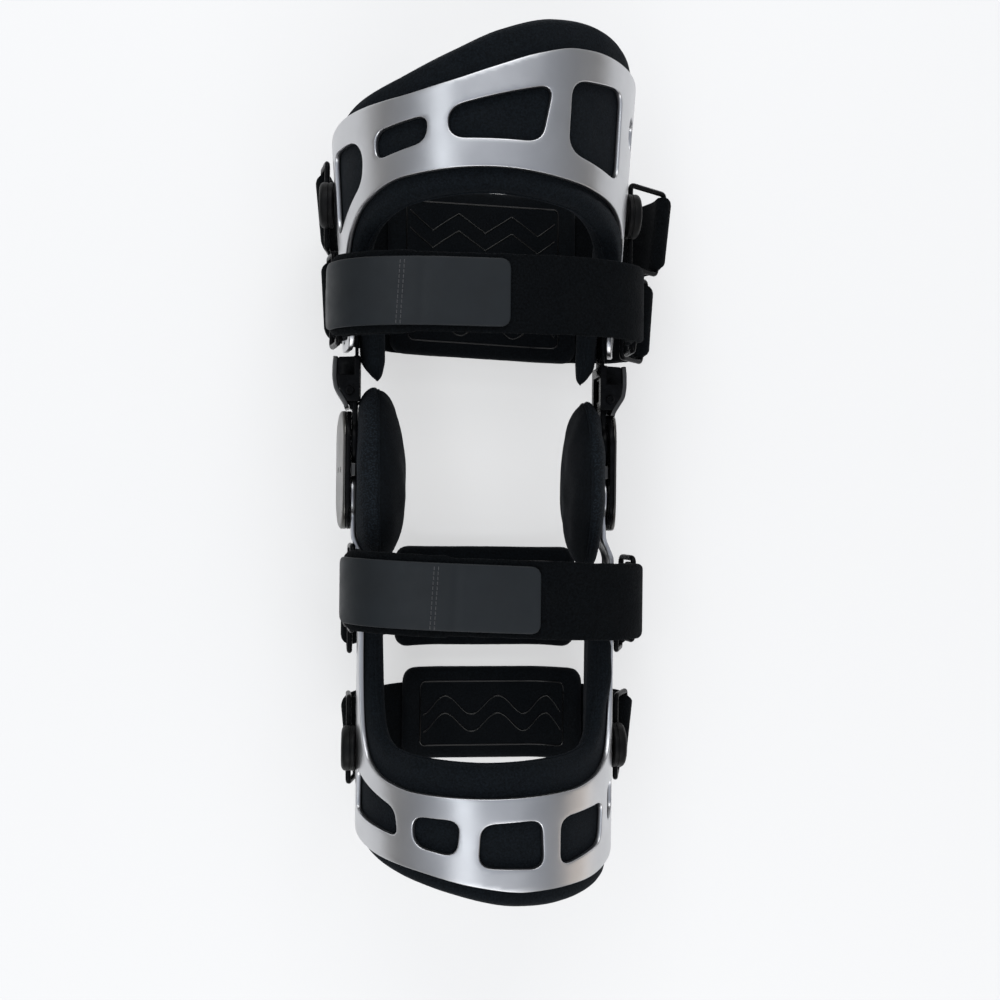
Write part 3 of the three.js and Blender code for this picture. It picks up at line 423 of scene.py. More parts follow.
def rounded(corners, radius):
    """A polygon with every corner rounded, by less where its edges are short."""
    corners = np.array(corners, float)
    share = np.linspace(0.0, 1.0, CORNER_STEPS)[:, None]
    arcs = []
    for i, corner in enumerate(corners):
        before = corners[i - 1] - corner
        after = corners[(i + 1) % len(corners)] - corner
        enter = corner + before * min(radius / np.linalg.norm(before), 0.48)
        leave = corner + after * min(radius / np.linalg.norm(after), 0.48)
        arcs.append((1 - share) ** 2 * enter + 2 * share * (1 - share) * corner + share ** 2 * leave)
    return np.vstack(arcs)


def oblong(low, high, half):
    """Corners of an oblong along a strip, from its lower to its upper end."""
    return [(low, -half), (high, -half), (high, half), (low, half)]


def circle(centre, radius, count=32):
    """A round outline."""
    turn = np.linspace(0.0, 2.0 * math.pi, count, endpoint=False)
    return np.column_stack([centre[0] + radius * np.cos(turn), centre[1] + radius * np.sin(turn)])


# Meshes

def make_piece(name, points, faces, smooth=True):
    """A mesh object from points in millimetres, with its faces turned outwards."""
    mesh = bpy.data.meshes.new(name)
    mesh.from_pydata((np.asarray(points) * MM + KNEE).tolist(), [], [list(face) for face in faces])
    work = bmesh.new()
    work.from_mesh(mesh)
    bmesh.ops.recalc_face_normals(work, faces=work.faces)
    work.to_mesh(mesh)
    work.free()
    mesh.polygons.foreach_set("use_smooth", [smooth] * len(mesh.polygons))
    mesh.update()
    piece = bpy.data.objects.new(name, mesh)
    bpy.context.scene.collection.objects.link(piece)
    return piece


def dress(piece, material):
    """Gives a piece one finish all over."""
    piece.data.materials.clear()
    piece.data.materials.append(material)


def settle(piece, node, material):
    """Lets a piece stand for a CAD node: it rides on the node's body and has its finish."""
    dress(piece, material)
    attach(piece, BODY_OF[node])
    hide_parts(node)


def trim(piece, node, material):
    """Sets small trimmings on the body of the piece that carries them."""
    dress(piece, material)
    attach(piece, BODY_OF[node])


def coordinates(mesh):
    """The places of a mesh's points, in metres."""
    flat = np.empty(len(mesh.vertices) * 3, np.float32)
    mesh.vertices.foreach_get("co", flat)
    return flat.reshape(-1, 3).astype(float)


def put_coordinates(mesh, places):
    """Moves a mesh's points."""
    mesh.vertices.foreach_set("co", np.asarray(places, np.float32).ravel())
    mesh.update()


def point_normals(mesh):
    """The outward directions at a mesh's points."""
    flat = np.empty(len(mesh.vertices) * 3, np.float32)
    mesh.vertex_normals.foreach_get("vector", flat)
    return flat.reshape(-1, 3).astype(float)


def inward(loop, hole):
    """The directions from an outline into the material."""
    run = np.roll(loop, -1, 0) - np.roll(loop, 1, 0)
    left = np.column_stack([-run[:, 1], run[:, 0]])
    left /= np.linalg.norm(left, axis=1)[:, None]
    ahead = np.roll(loop, -1, 0)
    area = np.sum(loop[:, 0] * ahead[:, 1] - ahead[:, 0] * loop[:, 1])
    return left if (area > 0) != hole else -left


def in_chunks(points, work, size=1500):
    """Runs a function over many points a few at a time."""
    return np.concatenate([work(points[i:i + size]) for i in range(0, len(points), size)])


def edge_distance(points, loops):
    """How far points lie from the nearest outline."""
    start = np.vstack(loops)
    run = np.vstack([np.roll(loop, -1, 0) - loop for loop in loops])
    size = np.maximum((run ** 2).sum(1), 1e-12)

    def nearest(some):
        away = some[:, None] - start[None]
        share = np.clip((away * run).sum(2) / size, 0.0, 1.0)
        rest = away - share[..., None] * run
        return np.sqrt((rest ** 2).sum(2).min(1))

    return in_chunks(points, nearest)


def inside(points, loops):
    """Whether points lie in the material between the outlines."""
    start = np.vstack(loops)
    end = np.vstack([np.roll(loop, -1, 0) for loop in loops])
    rise = np.where(np.abs(end[:, 1] - start[:, 1]) < 1e-12, 1e-12, end[:, 1] - start[:, 1])

    def within(some):
        x, y = some[:, :1], some[:, 1:]
        spans = (start[:, 1] > y) != (end[:, 1] > y)
        meets = (end[:, 0] - start[:, 0]) * (y - start[:, 1]) / rise + start[:, 0]
        return np.count_nonzero(spans & (x < meets), axis=1) % 2 == 1

    return in_chunks(points, within)


def panel(name, loops, spacing, edge_radius, thickness, rows, place, edge_depth=None, inner_share=1.0):
    """A panel cut to an outline with holes, of even thickness with rounded edges, and its outline's points.

    place turns points of the flat pattern and their depth below the face into places.
    """
    edge_depth = edge_radius if edge_depth is None else edge_depth
    loops = [resampled(loop, spacing) for loop in loops]
    inner_rows = []
    for i, loop in enumerate(loops):
        into = inward(loop, i > 0)
        for share in rows:
            ring = loop + into * edge_radius * share
            inner_rows.append(ring[edge_distance(ring, loops) > edge_radius * share * 0.96])
    low, high = loops[0].min(0), loops[0].max(0)
    rise = spacing * math.sqrt(0.75)
    columns = np.arange(low[0], high[0], spacing)
    lines = np.arange(low[1], high[1], rise)
    lattice = np.array([(x + spacing / 2 * (j % 2), y) for j, y in enumerate(lines) for x in columns])
    lattice = lattice[inside(lattice, loops)]
    lattice = lattice[edge_distance(lattice, loops) > edge_radius * max(rows) + 0.55 * spacing]
    fringe = np.vstack(inner_rows)
    fringe = fringe[inside(fringe, loops)]
    flat = np.vstack([*loops, fringe, lattice])

    edges = []
    first = 0
    for loop in loops:
        edges += [(first + i, first + (i + 1) % len(loop)) for i in range(len(loop))]
        first += len(loop)
    border = first
    found = delaunay_2d_cdt([Vector(point) for point in flat], edges, [], 1, 1e-7)
    flat = np.array([tuple(point) for point in found[0]])
    renamed = {old: new for new, olds in enumerate(found[3]) for old in olds}
    triangles = np.array([face for face in found[2]])
    triangles = triangles[inside(flat[triangles].mean(1), loops)]

    near = np.clip(edge_distance(flat, loops) / edge_radius, 0.0, 1.0)
    drop = edge_depth * (1.0 - np.sqrt(np.maximum(0.0, 1.0 - (1.0 - near) ** 2)))
    outer = place(flat[:, 0], flat[:, 1], drop)
    inner = place(flat[:, 0], flat[:, 1], thickness - drop * inner_share)
    count = len(flat)
    under = np.arange(count) + count
    sewn = thickness - edge_depth * (1.0 + inner_share) < 1e-6
    if sewn:
        for old in range(border):
            under[renamed[old]] = renamed[old]
    faces = [tuple(face) for face in triangles]
    faces += [tuple(under[face[::-1]]) for face in triangles]
    if not sewn:
        for a, b in edges:
            faces.append((renamed[a], renamed[b], under[renamed[b]], under[renamed[a]]))
    points = np.vstack([outer, inner])
    used = np.unique(np.concatenate([np.asarray(face) for face in faces]))
    place_of = np.full(len(points), -1)
    place_of[used] = np.arange(len(used))
    piece = make_piece(name, points[used], [tuple(place_of[list(face)]) for face in faces])
    return piece, [int(place_of[renamed[i]]) for i in range(len(loops[0]))]


def loft(name, sections, closed=False, caps=True):
    """Skins a row of like closed sections."""
    count = len(sections[0])
    rows = len(sections)
    faces = []
    for i in range(rows if closed else rows - 1):
        here, there = i * count, ((i + 1) % rows) * count
        for j in range(count):
            k = (j + 1) % count
            faces.append((here + j, there + j, there + k, here + k))
    if caps and not closed:
        faces.append(tuple(range(count)))
        faces.append(tuple((rows - 1) * count + j for j in range(count)))
    return make_piece(name, np.vstack(sections), faces)


def lathe(name, profile, place, sides=48):
    """Turns a profile of (radius, height); place turns flat rounds into places."""
    turn = np.linspace(0.0, 2.0 * math.pi, sides, endpoint=False)
    points, faces, rows = [], [], []
    for radius, height in profile:
        if radius < 1e-6:
            rows.append([len(points)])
            points.append((0.0, 0.0, height))
            continue
        rows.append(list(range(len(points), len(points) + sides)))
        points += [(radius * math.cos(a), radius * math.sin(a), height) for a in turn]
    for low, high in zip(rows, rows[1:]):
        for j in range(sides):
            k = (j + 1) % sides
            if len(low) == 1:
                faces.append((low[0], high[j], high[k]))
            elif len(high) == 1:
                faces.append((low[j], low[k], high[0]))
            else:
                faces.append((low[j], low[k], high[k], high[j]))
    return make_piece(name, place(np.array(points)), faces)


def box_points(low, high):
    """Corners and faces of a plain block."""
    corners = [(x, y, z) for x in (low[0], high[0]) for y in (low[1], high[1]) for z in (low[2], high[2])]
    faces = [(0, 1, 3, 2), (4, 6, 7, 5), (0, 4, 5, 1), (2, 3, 7, 6), (0, 2, 6, 4), (1, 5, 7, 3)]
    return corners, faces


def baked(piece):
    """Replaces a piece's mesh by what its modifiers make of it."""
    graph = bpy.context.evaluated_depsgraph_get()
    mesh = bpy.data.meshes.new_from_object(piece.evaluated_get(graph))
    piece.modifiers.clear()
    piece.data = mesh


def carve(piece, cutters):
    """Cuts blocks and rounds out of a piece."""
    for cutter in cutters:
        tool = piece.modifiers.new("cut", "BOOLEAN")
        tool.operation = "DIFFERENCE"
        tool.solver = "EXACT"
        tool.object = cutter
    baked(piece)
    for cutter in cutters:
        bpy.data.objects.remove(cutter)


def soften(piece, width, segments=2, angle=35.0):
    """Rounds a hard piece's edges."""
    bevel = piece.modifiers.new("edges", "BEVEL")
    bevel.width = width * MM
    bevel.segments = segments
    bevel.limit_method = "ANGLE"
    bevel.angle_limit = math.radians(angle)
    bevel.harden_normals = True
    baked(piece)


def shade_by_angle(piece, angle=32.0):
    """Smooths a hard piece except across its sharp edges."""
    mesh = piece.data
    mesh.polygons.foreach_set("use_smooth", [True] * len(mesh.polygons))
    mesh.set_sharp_from_angle(angle=math.radians(angle))


def joined(name, pieces):
    """One piece from several."""
    work = bmesh.new()
    for piece in pieces:
        work.from_mesh(piece.data)
    mesh = bpy.data.meshes.new(name)
    work.to_mesh(mesh)
    work.free()
    for piece in pieces:
        bpy.data.objects.remove(piece)
    whole = bpy.data.objects.new(name, mesh)
    bpy.context.scene.collection.objects.link(whole)
    return whole


def puffed(piece, pressure, cap, frames=14):
    """Swells a pad as cloth under pressure and keeps each point near where it began."""
    before = coordinates(piece.data)
    cloth = piece.modifiers.new("swell", "CLOTH")
    cloth.settings.quality = 4
    cloth.settings.mass = 0.15
    cloth.settings.tension_stiffness = 25
    cloth.settings.compression_stiffness = 25
    cloth.settings.shear_stiffness = 12
    cloth.settings.bending_stiffness = 0.4
    cloth.settings.use_pressure = True
    cloth.settings.uniform_pressure_force = pressure
    cloth.settings.effector_weights.gravity = 0.0
    cloth.collision_settings.use_collision = False
    cloth.point_cache.frame_start = 1
    cloth.point_cache.frame_end = frames
    scene = bpy.context.scene
    for number in range(1, frames + 1):
        scene.frame_set(number)
    graph = bpy.context.evaluated_depsgraph_get()
    after = coordinates(piece.evaluated_get(graph).data)
    piece.modifiers.remove(cloth)
    scene.frame_set(1)
    move = after - before
    size = np.linalg.norm(move, axis=1)
    limit = cap * MM
    kept = limit * np.tanh(size / limit) / np.maximum(size, 1e-9)
    put_coordinates(piece.data, before + move * kept[:, None])


def creased(piece, depth, pitch):
    """Gives a stuffed piece soft uneven folds along its outward directions."""
    places = coordinates(piece.data)
    at = (places - KNEE) / MM * pitch
    folds = (np.sin(at[:, 1] * 2.1 + 1.3 * np.sin(at[:, 2] * 1.7)) * np.sin(at[:, 2] * 1.1 + at[:, 0] * 0.9)
             + 0.6 * np.sin(at[:, 2] * 3.3 - at[:, 1] * 1.4 + at[:, 0]))
    put_coordinates(piece.data, places + point_normals(piece.data) * (folds * depth * MM)[:, None])


def tube_sections(line, radius, sides=8, closed=False):
    """Round sections along a line of points."""
    line = np.asarray(line, float)
    if closed:
        along = np.roll(line, -1, 0) - np.roll(line, 1, 0)
    else:
        along = np.gradient(line, axis=0)
    along /= np.linalg.norm(along, axis=1)[:, None]
    guide = np.array([0.0, 0.0, 1.0])
    if abs(along @ guide).max() > 0.95:
        guide = np.array([0.31, 0.87, 0.38])
    first = np.cross(along, guide)
    first /= np.linalg.norm(first, axis=1)[:, None]
    second = np.cross(along, first)
    turn = np.linspace(0.0, 2.0 * math.pi, sides, endpoint=False)
    return [
        point + radius * (np.cos(turn)[:, None] * a + np.sin(turn)[:, None] * b)
        for point, a, b in zip(line, first, second)
    ]


def stitching(name, places, along, up, size, radius):
    """A run of stitches: short threads, sunk at both ends."""
    pieces = []
    share = np.linspace(-0.5, 0.5, 5)
    for place, run, rise in zip(places, along, up):
        line = place + share[:, None] * size * run + (0.9 - 3.6 * share ** 2)[:, None] * radius * rise
        pieces.append(loft(f"{name}_part", tube_sections(line, radius, 6)))
    return joined(name, pieces)


# Strap lines

class StrapLine:
    """The middle line of a strap in the XZ plane, from the inner side's wire to the outer side's."""

    def __init__(self, wires, crown, fold_radius, steps=70):
        (left_x, left_z), (right_x, right_z) = wires
        rise = math.copysign(1.0, crown)
        start = np.array([left_x - rise * fold_radius, left_z])
        end = np.array([right_x + rise * fold_radius, right_z])
        middle = (left_x + right_x) / 2
        flat = STRAP_FLAT * (right_x - left_x) / 2

        def climb(foot, edge_x):
            share = np.linspace(0.0, 1.0, steps)[:, None]
            points = [
                foot,
                np.array([foot[0], foot[1] + (crown - foot[1]) * STRAP_CLIMB]),
                np.array([edge_x + (foot[0] - edge_x) * STRAP_EASE, crown]),
                np.array([edge_x, crown]),
            ]
            weights = [(1 - share) ** 3, 3 * share * (1 - share) ** 2, 3 * share ** 2 * (1 - share), share ** 3]
            return sum(weight * point for weight, point in zip(weights, points))

        line = np.vstack([climb(start, middle - flat), climb(end, middle + flat)[::-1]])
        self.points = resampled(line, 1.2, closed=False)
        self.at = np.concatenate([[0.0], np.cumsum(np.linalg.norm(np.diff(self.points, axis=0), axis=1))])
        self.along = np.gradient(self.points, axis=0)
        self.along /= np.linalg.norm(self.along, axis=1)[:, None]
        self.right = np.column_stack([self.along[:, 1], -self.along[:, 0]])
        self.fold_radius = fold_radius

    def place(self, at, aside):
        """Points at distances along the line, set aside to its right."""
        point = np.column_stack([np.interp(at, self.at, column) for column in self.points.T])
        right = np.column_stack([np.interp(at, self.at, column) for column in self.right.T])
        right /= np.linalg.norm(right, axis=1)[:, None]
        return point + right * np.asarray(aside, float).reshape(-1, 1)

    def where(self, x):
        """The distance along the line at which it passes a place across the leg."""
        return float(np.interp(x, self.points[:, 0], self.at))

    def folded(self, folds, layer):
        """The whole run of the strap with its ends folded back round both wires."""
        whole = self.at[-1]
        parts = []
        for from_wire, fold, station, away in (
                (self.at, folds[0], 0, -1.0), (whole - self.at, folds[1], -1, 1.0)):
            keep = from_wire <= fold
            near = 1.0 - smoothstep(from_wire[keep], 0.0, FOLD_OPENING)
            aside = layer + (2.0 * self.fold_radius - layer) * near
            back = self.points[keep] + self.right[keep] * aside[:, None]
            turn = np.linspace(0.0, math.pi, 16)[1:-1, None]
            centre = self.points[station] + self.right[station] * self.fold_radius
            round_wire = (centre - self.right[station] * self.fold_radius * np.cos(turn)
                          + self.along[station] * away * self.fold_radius * np.sin(turn))
            parts.append((back, round_wire))
        (left, left_turn), (right, right_turn) = parts
        return np.vstack([left[::-1], left_turn[::-1], self.points, right_turn, right[::-1]])


def strap_line(spec, sizes):
    """The middle line of a front or rear strap."""
    strap = sizes.strap / MM
    crown = spec.get("crown", GROUND + strap / 2)
    return StrapLine(spec["wires"], crown, sizes.wire / MM + 2 * GAP + strap / 2)


def strap_sections(line, thickness, width, y, slope, lean, ruffle, across=14):
    """Sections of a soft strap with rounded selvedges along a line in the XZ plane.

    lean tells how far a place on the line is pulled sideways for each millimetre along the leg.
    """
    line = resampled(line, 1.3, closed=False)
    along = np.gradient(line, axis=0)
    along /= np.linalg.norm(along, axis=1)[:, None]
    side = np.column_stack([along[:, 1], -along[:, 0]])
    half = thickness / 2
    span = np.linspace(-1.0, 1.0, across)
    turn = np.linspace(-math.pi / 2, math.pi / 2, 7)[1:-1]
    sections = []
    wobble = np.random.default_rng(ruffle).normal(0.0, 1.0, (4, len(line)))
    kernel = np.hanning(9)
    kernel /= kernel.sum()
    wobble = np.array([np.convolve(row, kernel, "same") for row in wobble])
    for i, (point, out) in enumerate(zip(line, side)):
        wide = width(point[0]) / 2 - half
        flat = [(w * wide, half) for w in span]
        flat += [(wide + half * math.cos(a), -half * math.sin(a)) for a in turn]
        flat += [(w * wide, -half) for w in span[::-1]]
        flat += [(-wide - half * math.cos(a), half * math.sin(a)) for a in turn]
        flat = np.array(flat)
        shift = np.where(flat[:, 0] > 0, wobble[0, i], wobble[1, i]) * STRAP_RUFFLE
        flat[:, 0] += shift * smoothstep(np.abs(flat[:, 0]), wide * 0.8, wide)
        x = point[0] + out[0] * flat[:, 1] + lean(*point) * flat[:, 0]
        z = point[1] + out[1] * flat[:, 1]
        sections.append(np.column_stack([x, y + slope * point[0] + flat[:, 0], z]))
    return sections


# Finishes

class Finish:
    """A node material, built from the surface shader backwards."""

    def __init__(self, name, colour, roughness, metallic=0.0, **sockets):
        self.material = bpy.data.materials.new(name)
        self.material.use_nodes = True
        self.tree = self.material.node_tree
        self.shader = self.tree.nodes["Principled BSDF"]
        self.colour = colour
        self.shader.inputs["Base Color"].default_value = (*colour, 1.0)
        self.shader.inputs["Roughness"].default_value = roughness
        self.shader.inputs["Metallic"].default_value = metallic
        for socket, value in sockets.items():
            self.shader.inputs[socket.replace("_", " ")].default_value = value
        self.where = self.tree.nodes.new("ShaderNodeTexCoord").outputs["Object"]

    def link(self, source, target):
        self.tree.links.new(source, target)
        return self

    def stretched(self, scale):
        """Coordinates drawn out along some axes."""
        node = self.tree.nodes.new("ShaderNodeMapping")
        node.inputs["Scale"].default_value = scale
        self.link(self.where, node.inputs["Vector"])
        return node.outputs["Vector"]

    def noise(self, scale, detail=3.0, rough=0.55, stretch=None):
        node = self.tree.nodes.new("ShaderNodeTexNoise")
        node.inputs["Scale"].default_value = scale
        node.inputs["Detail"].default_value = detail
        node.inputs["Roughness"].default_value = rough
        self.link(self.stretched(stretch) if stretch else self.where, node.inputs["Vector"])
        return node.outputs["Fac"]

    def cells(self, scale, stretch=None):
        node = self.tree.nodes.new("ShaderNodeTexVoronoi")
        node.inputs["Scale"].default_value = scale
        self.link(self.stretched(stretch) if stretch else self.where, node.inputs["Vector"])
        return node.outputs["Distance"]

    def ramp(self, source, low, high, from_low=0.3, from_high=0.7):
        node = self.tree.nodes.new("ShaderNodeMapRange")
        node.inputs["From Min"].default_value = from_low
        node.inputs["From Max"].default_value = from_high
        node.inputs["To Min"].default_value = low
        node.inputs["To Max"].default_value = high
        self.link(source, node.inputs["Value"])
        return node.outputs["Result"]

    def shades(self, source, dark, light, from_low=0.3, from_high=0.7):
        """Colour that varies between two shades of the finish."""
        node = self.tree.nodes.new("ShaderNodeMix")
        node.data_type = "RGBA"
        node.inputs[6].default_value = (*[c * dark for c in self.colour], 1.0)
        node.inputs[7].default_value = (*[min(1.0, c * light) for c in self.colour], 1.0)
        self.link(self.ramp(source, 0.0, 1.0, from_low, from_high), node.inputs[0])
        self.link(node.outputs[2], self.shader.inputs["Base Color"])
        return self

    def roughness(self, source, low, high):
        return self.link(self.ramp(source, low, high), self.shader.inputs["Roughness"])

    def relief(self, *layers):
        """Bumps as (source, strength, height in millimetres), the first one lowest."""
        normal = None
        for source, strength, height in layers:
            node = self.tree.nodes.new("ShaderNodeBump")
            node.inputs["Strength"].default_value = strength
            node.inputs["Distance"].default_value = height * MM
            self.link(source, node.inputs["Height"])
            if normal is not None:
                self.link(normal, node.inputs["Normal"])
            normal = node.outputs["Normal"]
        return self.link(normal, self.shader.inputs["Normal"])


def satin_aluminium(colour):
    made = Finish("satin aluminium", colour, 0.3, 1.0)
    made.shades(made.noise(38.0, 4.0), 0.93, 1.04)
    made.roughness(made.noise(60.0, 1.0), 0.29, 0.35)
    made.relief(
        (made.noise(14.0, 2.0), 0.1, 0.5),
        (made.noise(640.0, 2.0), 0.16, 0.07),
        (made.noise(1700.0, 3.0), 0.07, 0.04),
        (made.noise(900.0, 3.0, stretch=(0.06, 1.0, 0.06)), 0.06, 0.03))
    return made.material


def drawn_steel(colour):
    made = Finish("drawn steel", colour, 0.22, 1.0)
    made.shades(made.noise(300.0, 3.0), 0.8, 1.08)
    made.roughness(made.noise(700.0, 3.0, stretch=(1.0, 0.12, 1.0)), 0.16, 0.32)
    made.relief((made.noise(1500.0, 2.0), 0.1, 0.05))
    return made.material


def blackened_steel(colour):
    made = Finish("blackened steel", colour, 0.3, 1.0)
    made.shades(made.noise(120.0, 2.0), 0.88, 1.12)
    made.roughness(made.noise(90.0, 1.0), 0.28, 0.36)
    made.relief((made.noise(1800.0, 2.0), 0.12, 0.05))
    return made.material


def glossy_gunmetal(colour):
    made = Finish("glossy gunmetal", colour, 0.28, 1.0)
    made.shades(made.noise(45.0, 3.0), 0.88, 1.1)
    made.roughness(made.noise(70.0, 1.0), 0.26, 0.34)
    made.relief((made.noise(90.0, 2.0), 0.05, 0.3), (made.noise(3200.0, 2.0), 0.03, 0.02))
    return made.material


def black_enamel(colour):
    made = Finish("black enamel", colour, 0.26, Specular_IOR_Level=0.06)
    made.shades(made.noise(220.0, 5.0), 0.7, 2.2, 0.45, 0.85)
    made.roughness(made.noise(520.0, 4.0), 0.2, 0.34)
    made.relief((made.noise(1800.0, 3.0), 0.1, 0.05))
    return made.material


def cloth_finish(name, colour, roughness, sheen, spread, gloss):
    """A cloth with a cool sheen of some weight and spread."""
    return Finish(
        name, colour, roughness, Sheen_Weight=sheen, Sheen_Roughness=spread, Sheen_Tint=SHEEN_TINT,
        Specular_IOR_Level=gloss)


def gusset_knit(colour):
    made = cloth_finish("gusset knit", colour, 0.9, 0.03, 0.4, 0.14)
    made.shades(made.cells(1250.0, (0.8, 1.0, 1.0)), 2.4, 0.6, 0.15, 0.6)
    made.relief(
        (made.noise(60.0, 2.0), 0.2, 0.6),
        (made.cells(1250.0, (0.8, 1.0, 1.0)), 0.8, 0.35),
        (made.noise(2600.0, 3.0), 0.4, 0.15))
    return made.material


def moulded_plastic(colour):
    made = Finish("moulded plastic", colour, 0.48, Specular_IOR_Level=0.14)
    made.shades(made.noise(150.0, 3.0), 0.8, 1.3)
    made.roughness(made.noise(800.0, 3.0), 0.4, 0.56)
    made.relief((made.noise(2400.0, 2.0), 0.25, 0.06))
    return made.material


def brushed_cloth(name, colour, loops, nap):
    made = cloth_finish(name, colour, 0.92, 0.025, 0.45, 0.11)
    made.shades(made.noise(1100.0, 4.0, 0.7), 0.55, 2.1, 0.38, 0.72)
    made.roughness(made.noise(60.0, 3.0), 0.84, 0.98)
    made.relief(
        (made.noise(70.0, 3.0), 0.25, 0.8),
        (made.cells(loops), 0.55, nap),
        (made.noise(loops * 1.9, 4.0, 0.75), 0.6, nap * 0.7))
    return made.material


def loop_webbing(colour):
    made = cloth_finish("loop webbing", colour, 0.94, 0.015, 0.4, 0.08)
    made.shades(made.noise(950.0, 5.0, 0.72), 0.5, 2.3, 0.38, 0.74)
    made.roughness(made.noise(80.0, 3.0), 0.86, 0.98)
    made.relief(
        (made.noise(260.0, 2.0, stretch=(1.0, 0.16, 1.0)), 0.3, 0.5),
        (made.cells(1250.0, (1.0, 0.72, 1.0)), 0.7, 0.5),
        (made.noise(2300.0, 4.0, 0.8), 0.6, 0.3))
    return made.material


def coated_tab(colour):
    made = Finish("coated tab", colour, 0.5, Specular_IOR_Level=0.3)
    made.shades(made.noise(55.0, 4.0), 0.86, 1.14)
    made.roughness(made.noise(130.0, 4.0), 0.44, 0.58)
    made.relief((made.noise(42.0, 2.0), 0.18, 0.5), (made.noise(3000.0, 3.0), 0.22, 0.05))
    return made.material


def sewing_thread(colour):
    made = Finish("sewing thread", colour, 0.6, Sheen_Weight=0.2)
    made.shades(made.noise(2500.0, 3.0), 0.7, 1.3)
    made.relief((made.noise(5200.0, 2.0, stretch=(1.0, 0.3, 1.0)), 0.4, 0.08))
    return made.material


def grip_rubber(colour):
    made = Finish("grip rubber", colour, 0.18, Specular_IOR_Level=0.4)
    made.shades(made.noise(400.0, 3.0), 0.8, 1.3)
    made.roughness(made.noise(900.0, 3.0), 0.13, 0.26)
    made.relief((made.noise(2200.0, 2.0), 0.15, 0.05))
    return made.material


def finishes(context):
    """The brace's finishes, made once from the user's colours."""
    colours = context.scene.brace_colours
    makers = {
        "satin aluminium": lambda: satin_aluminium(colours.aluminium),
        "drawn steel": lambda: drawn_steel(colours.steel),
        "blackened steel": lambda: blackened_steel(colours.blackened),
        "glossy gunmetal": lambda: glossy_gunmetal(colours.gunmetal),
        "black enamel": lambda: black_enamel(colours.black_metal),
        "moulded plastic": lambda: moulded_plastic(colours.plastic),
        "liner cloth": lambda: brushed_cloth("liner cloth", colours.liner, 1500.0, 0.35),
        "pad cloth": lambda: brushed_cloth("pad cloth", [c * 0.62 for c in colours.liner], 1700.0, 0.3),
        "gusset knit": lambda: gusset_knit([c * 1.3 for c in colours.liner]),
        "loop webbing": lambda: loop_webbing(colours.strap),
        "coated tab": lambda: coated_tab(colours.tab),
        "sewing thread": lambda: sewing_thread(colours.thread),
        "grip rubber": lambda: grip_rubber(colours.ridge),
    }
    return {name: bpy.data.materials.get(name) or make() for name, make in makers.items()}


# Metal

def window_loops(windows, per_degree):
    """Outlines of windows on the flat pattern of a cuff."""
    return [
        rounded([(angle * per_degree, y) for angle, y in corners], radius)
        for radius, corners in windows
    ]


def thigh_pattern():
    """Flat pattern of the thigh cuff: its outline, windows and upright holes."""
    angles = np.linspace(*METAL_ENDS, EDGE_STEPS)
    under = np.column_stack([angles * THIGH_PER_DEGREE, arch(THIGH_ARCH, THIGH_ARCH_OUTER)(angles)])
    over = np.column_stack([angles * THIGH_PER_DEGREE, edge(THIGH_TOP)(angles)])
    holes = [
        circle((angle * THIGH_PER_DEGREE, y), UPRIGHT_HOLE_RADIUS, 20)
        for angle in (0, 180) for y in UPRIGHT_HOLE_HEIGHTS
    ]
    return [np.vstack([under, over[::-1]]), *window_loops(THIGH_WINDOWS, THIGH_PER_DEGREE), *holes]


def shin_arm_line(centre):
    """The hinge end of a shin bar on the flat pattern, from its higher to its lower angle."""
    reach = ARM_END_RADIUS * math.sqrt(0.5)
    turn = np.linspace(-0.25 * math.pi, 1.25 * math.pi, 60)
    disc = np.column_stack([ARM_END_RADIUS * np.cos(turn), -PIVOT_Y + ARM_END_RADIUS * np.sin(turn)])
    half, foot = SHIN_BAR_HALF_WIDTH, -JOG_FROM
    line = np.vstack([
        [(half, foot - BAR_OVERLAP), (half, foot), (reach, -PIVOT_Y - reach)],
        disc,
        [(-reach, -PIVOT_Y - reach), (-half, foot), (-half, foot - BAR_OVERLAP)],
    ])
    return line + np.array([centre * SHIN_PER_DEGREE, 0.0])


def shin_pattern():
    """Flat pattern of the shin cuff with its bars, windows and pivot holes."""
    low = np.linspace(*METAL_ENDS, EDGE_STEPS)
    under = np.column_stack([low * SHIN_PER_DEGREE, edge(SHIN_BOTTOM)(low)])
    top = np.linspace(*SHIN_ARCH_ENDS, ARCH_STEPS)
    over = np.column_stack([top * SHIN_PER_DEGREE, arch(SHIN_ARCH)(top)])
    over = over[over[:, 1] < -JOG_FROM - BAR_OVERLAP - ARCH_MARGIN]
    outline = np.vstack([under, shin_arm_line(180), over, shin_arm_line(0)])
    pivots = [circle((angle * SHIN_PER_DEGREE, -PIVOT_Y), PIN_RADIUS + GAP, 36) for angle in (0, 180)]
    return [outline, *window_loops(SHIN_WINDOWS, SHIN_PER_DEGREE), *pivots]


class BRACE_OT_cuffs(bpy.types.Operator):
    """Cut and bend the aluminium cuffs with their windows and uprights"""
    bl_idname = "brace.cuffs"
    bl_label = "Cuffs"

    def execute(self, context):
        sizes = context.scene.brace_sizes
        metal = finishes(context)["satin aluminium"]
        for node, pattern, per_degree in (
                ("thigh_cuff", thigh_pattern(), THIGH_PER_DEGREE),
                ("shin_cuff", shin_pattern(), SHIN_PER_DEGREE)):
            piece, _ = panel(
                f"{node}_sheet", pattern, SHEET_SPACING, sizes.sheet_edge / MM, sizes.sheet / MM, SHEET_ROWS,
                lambda s, y, below: around_leg(s / per_degree, y, -below))
            settle(piece, node, metal)
        return {"FINISHED"}


# Padding

def fade(height, start):
    """1 up to a height, then down to 0."""
    return 1.0 - smoothstep(height, start, start + STAND_OFF_FADE)


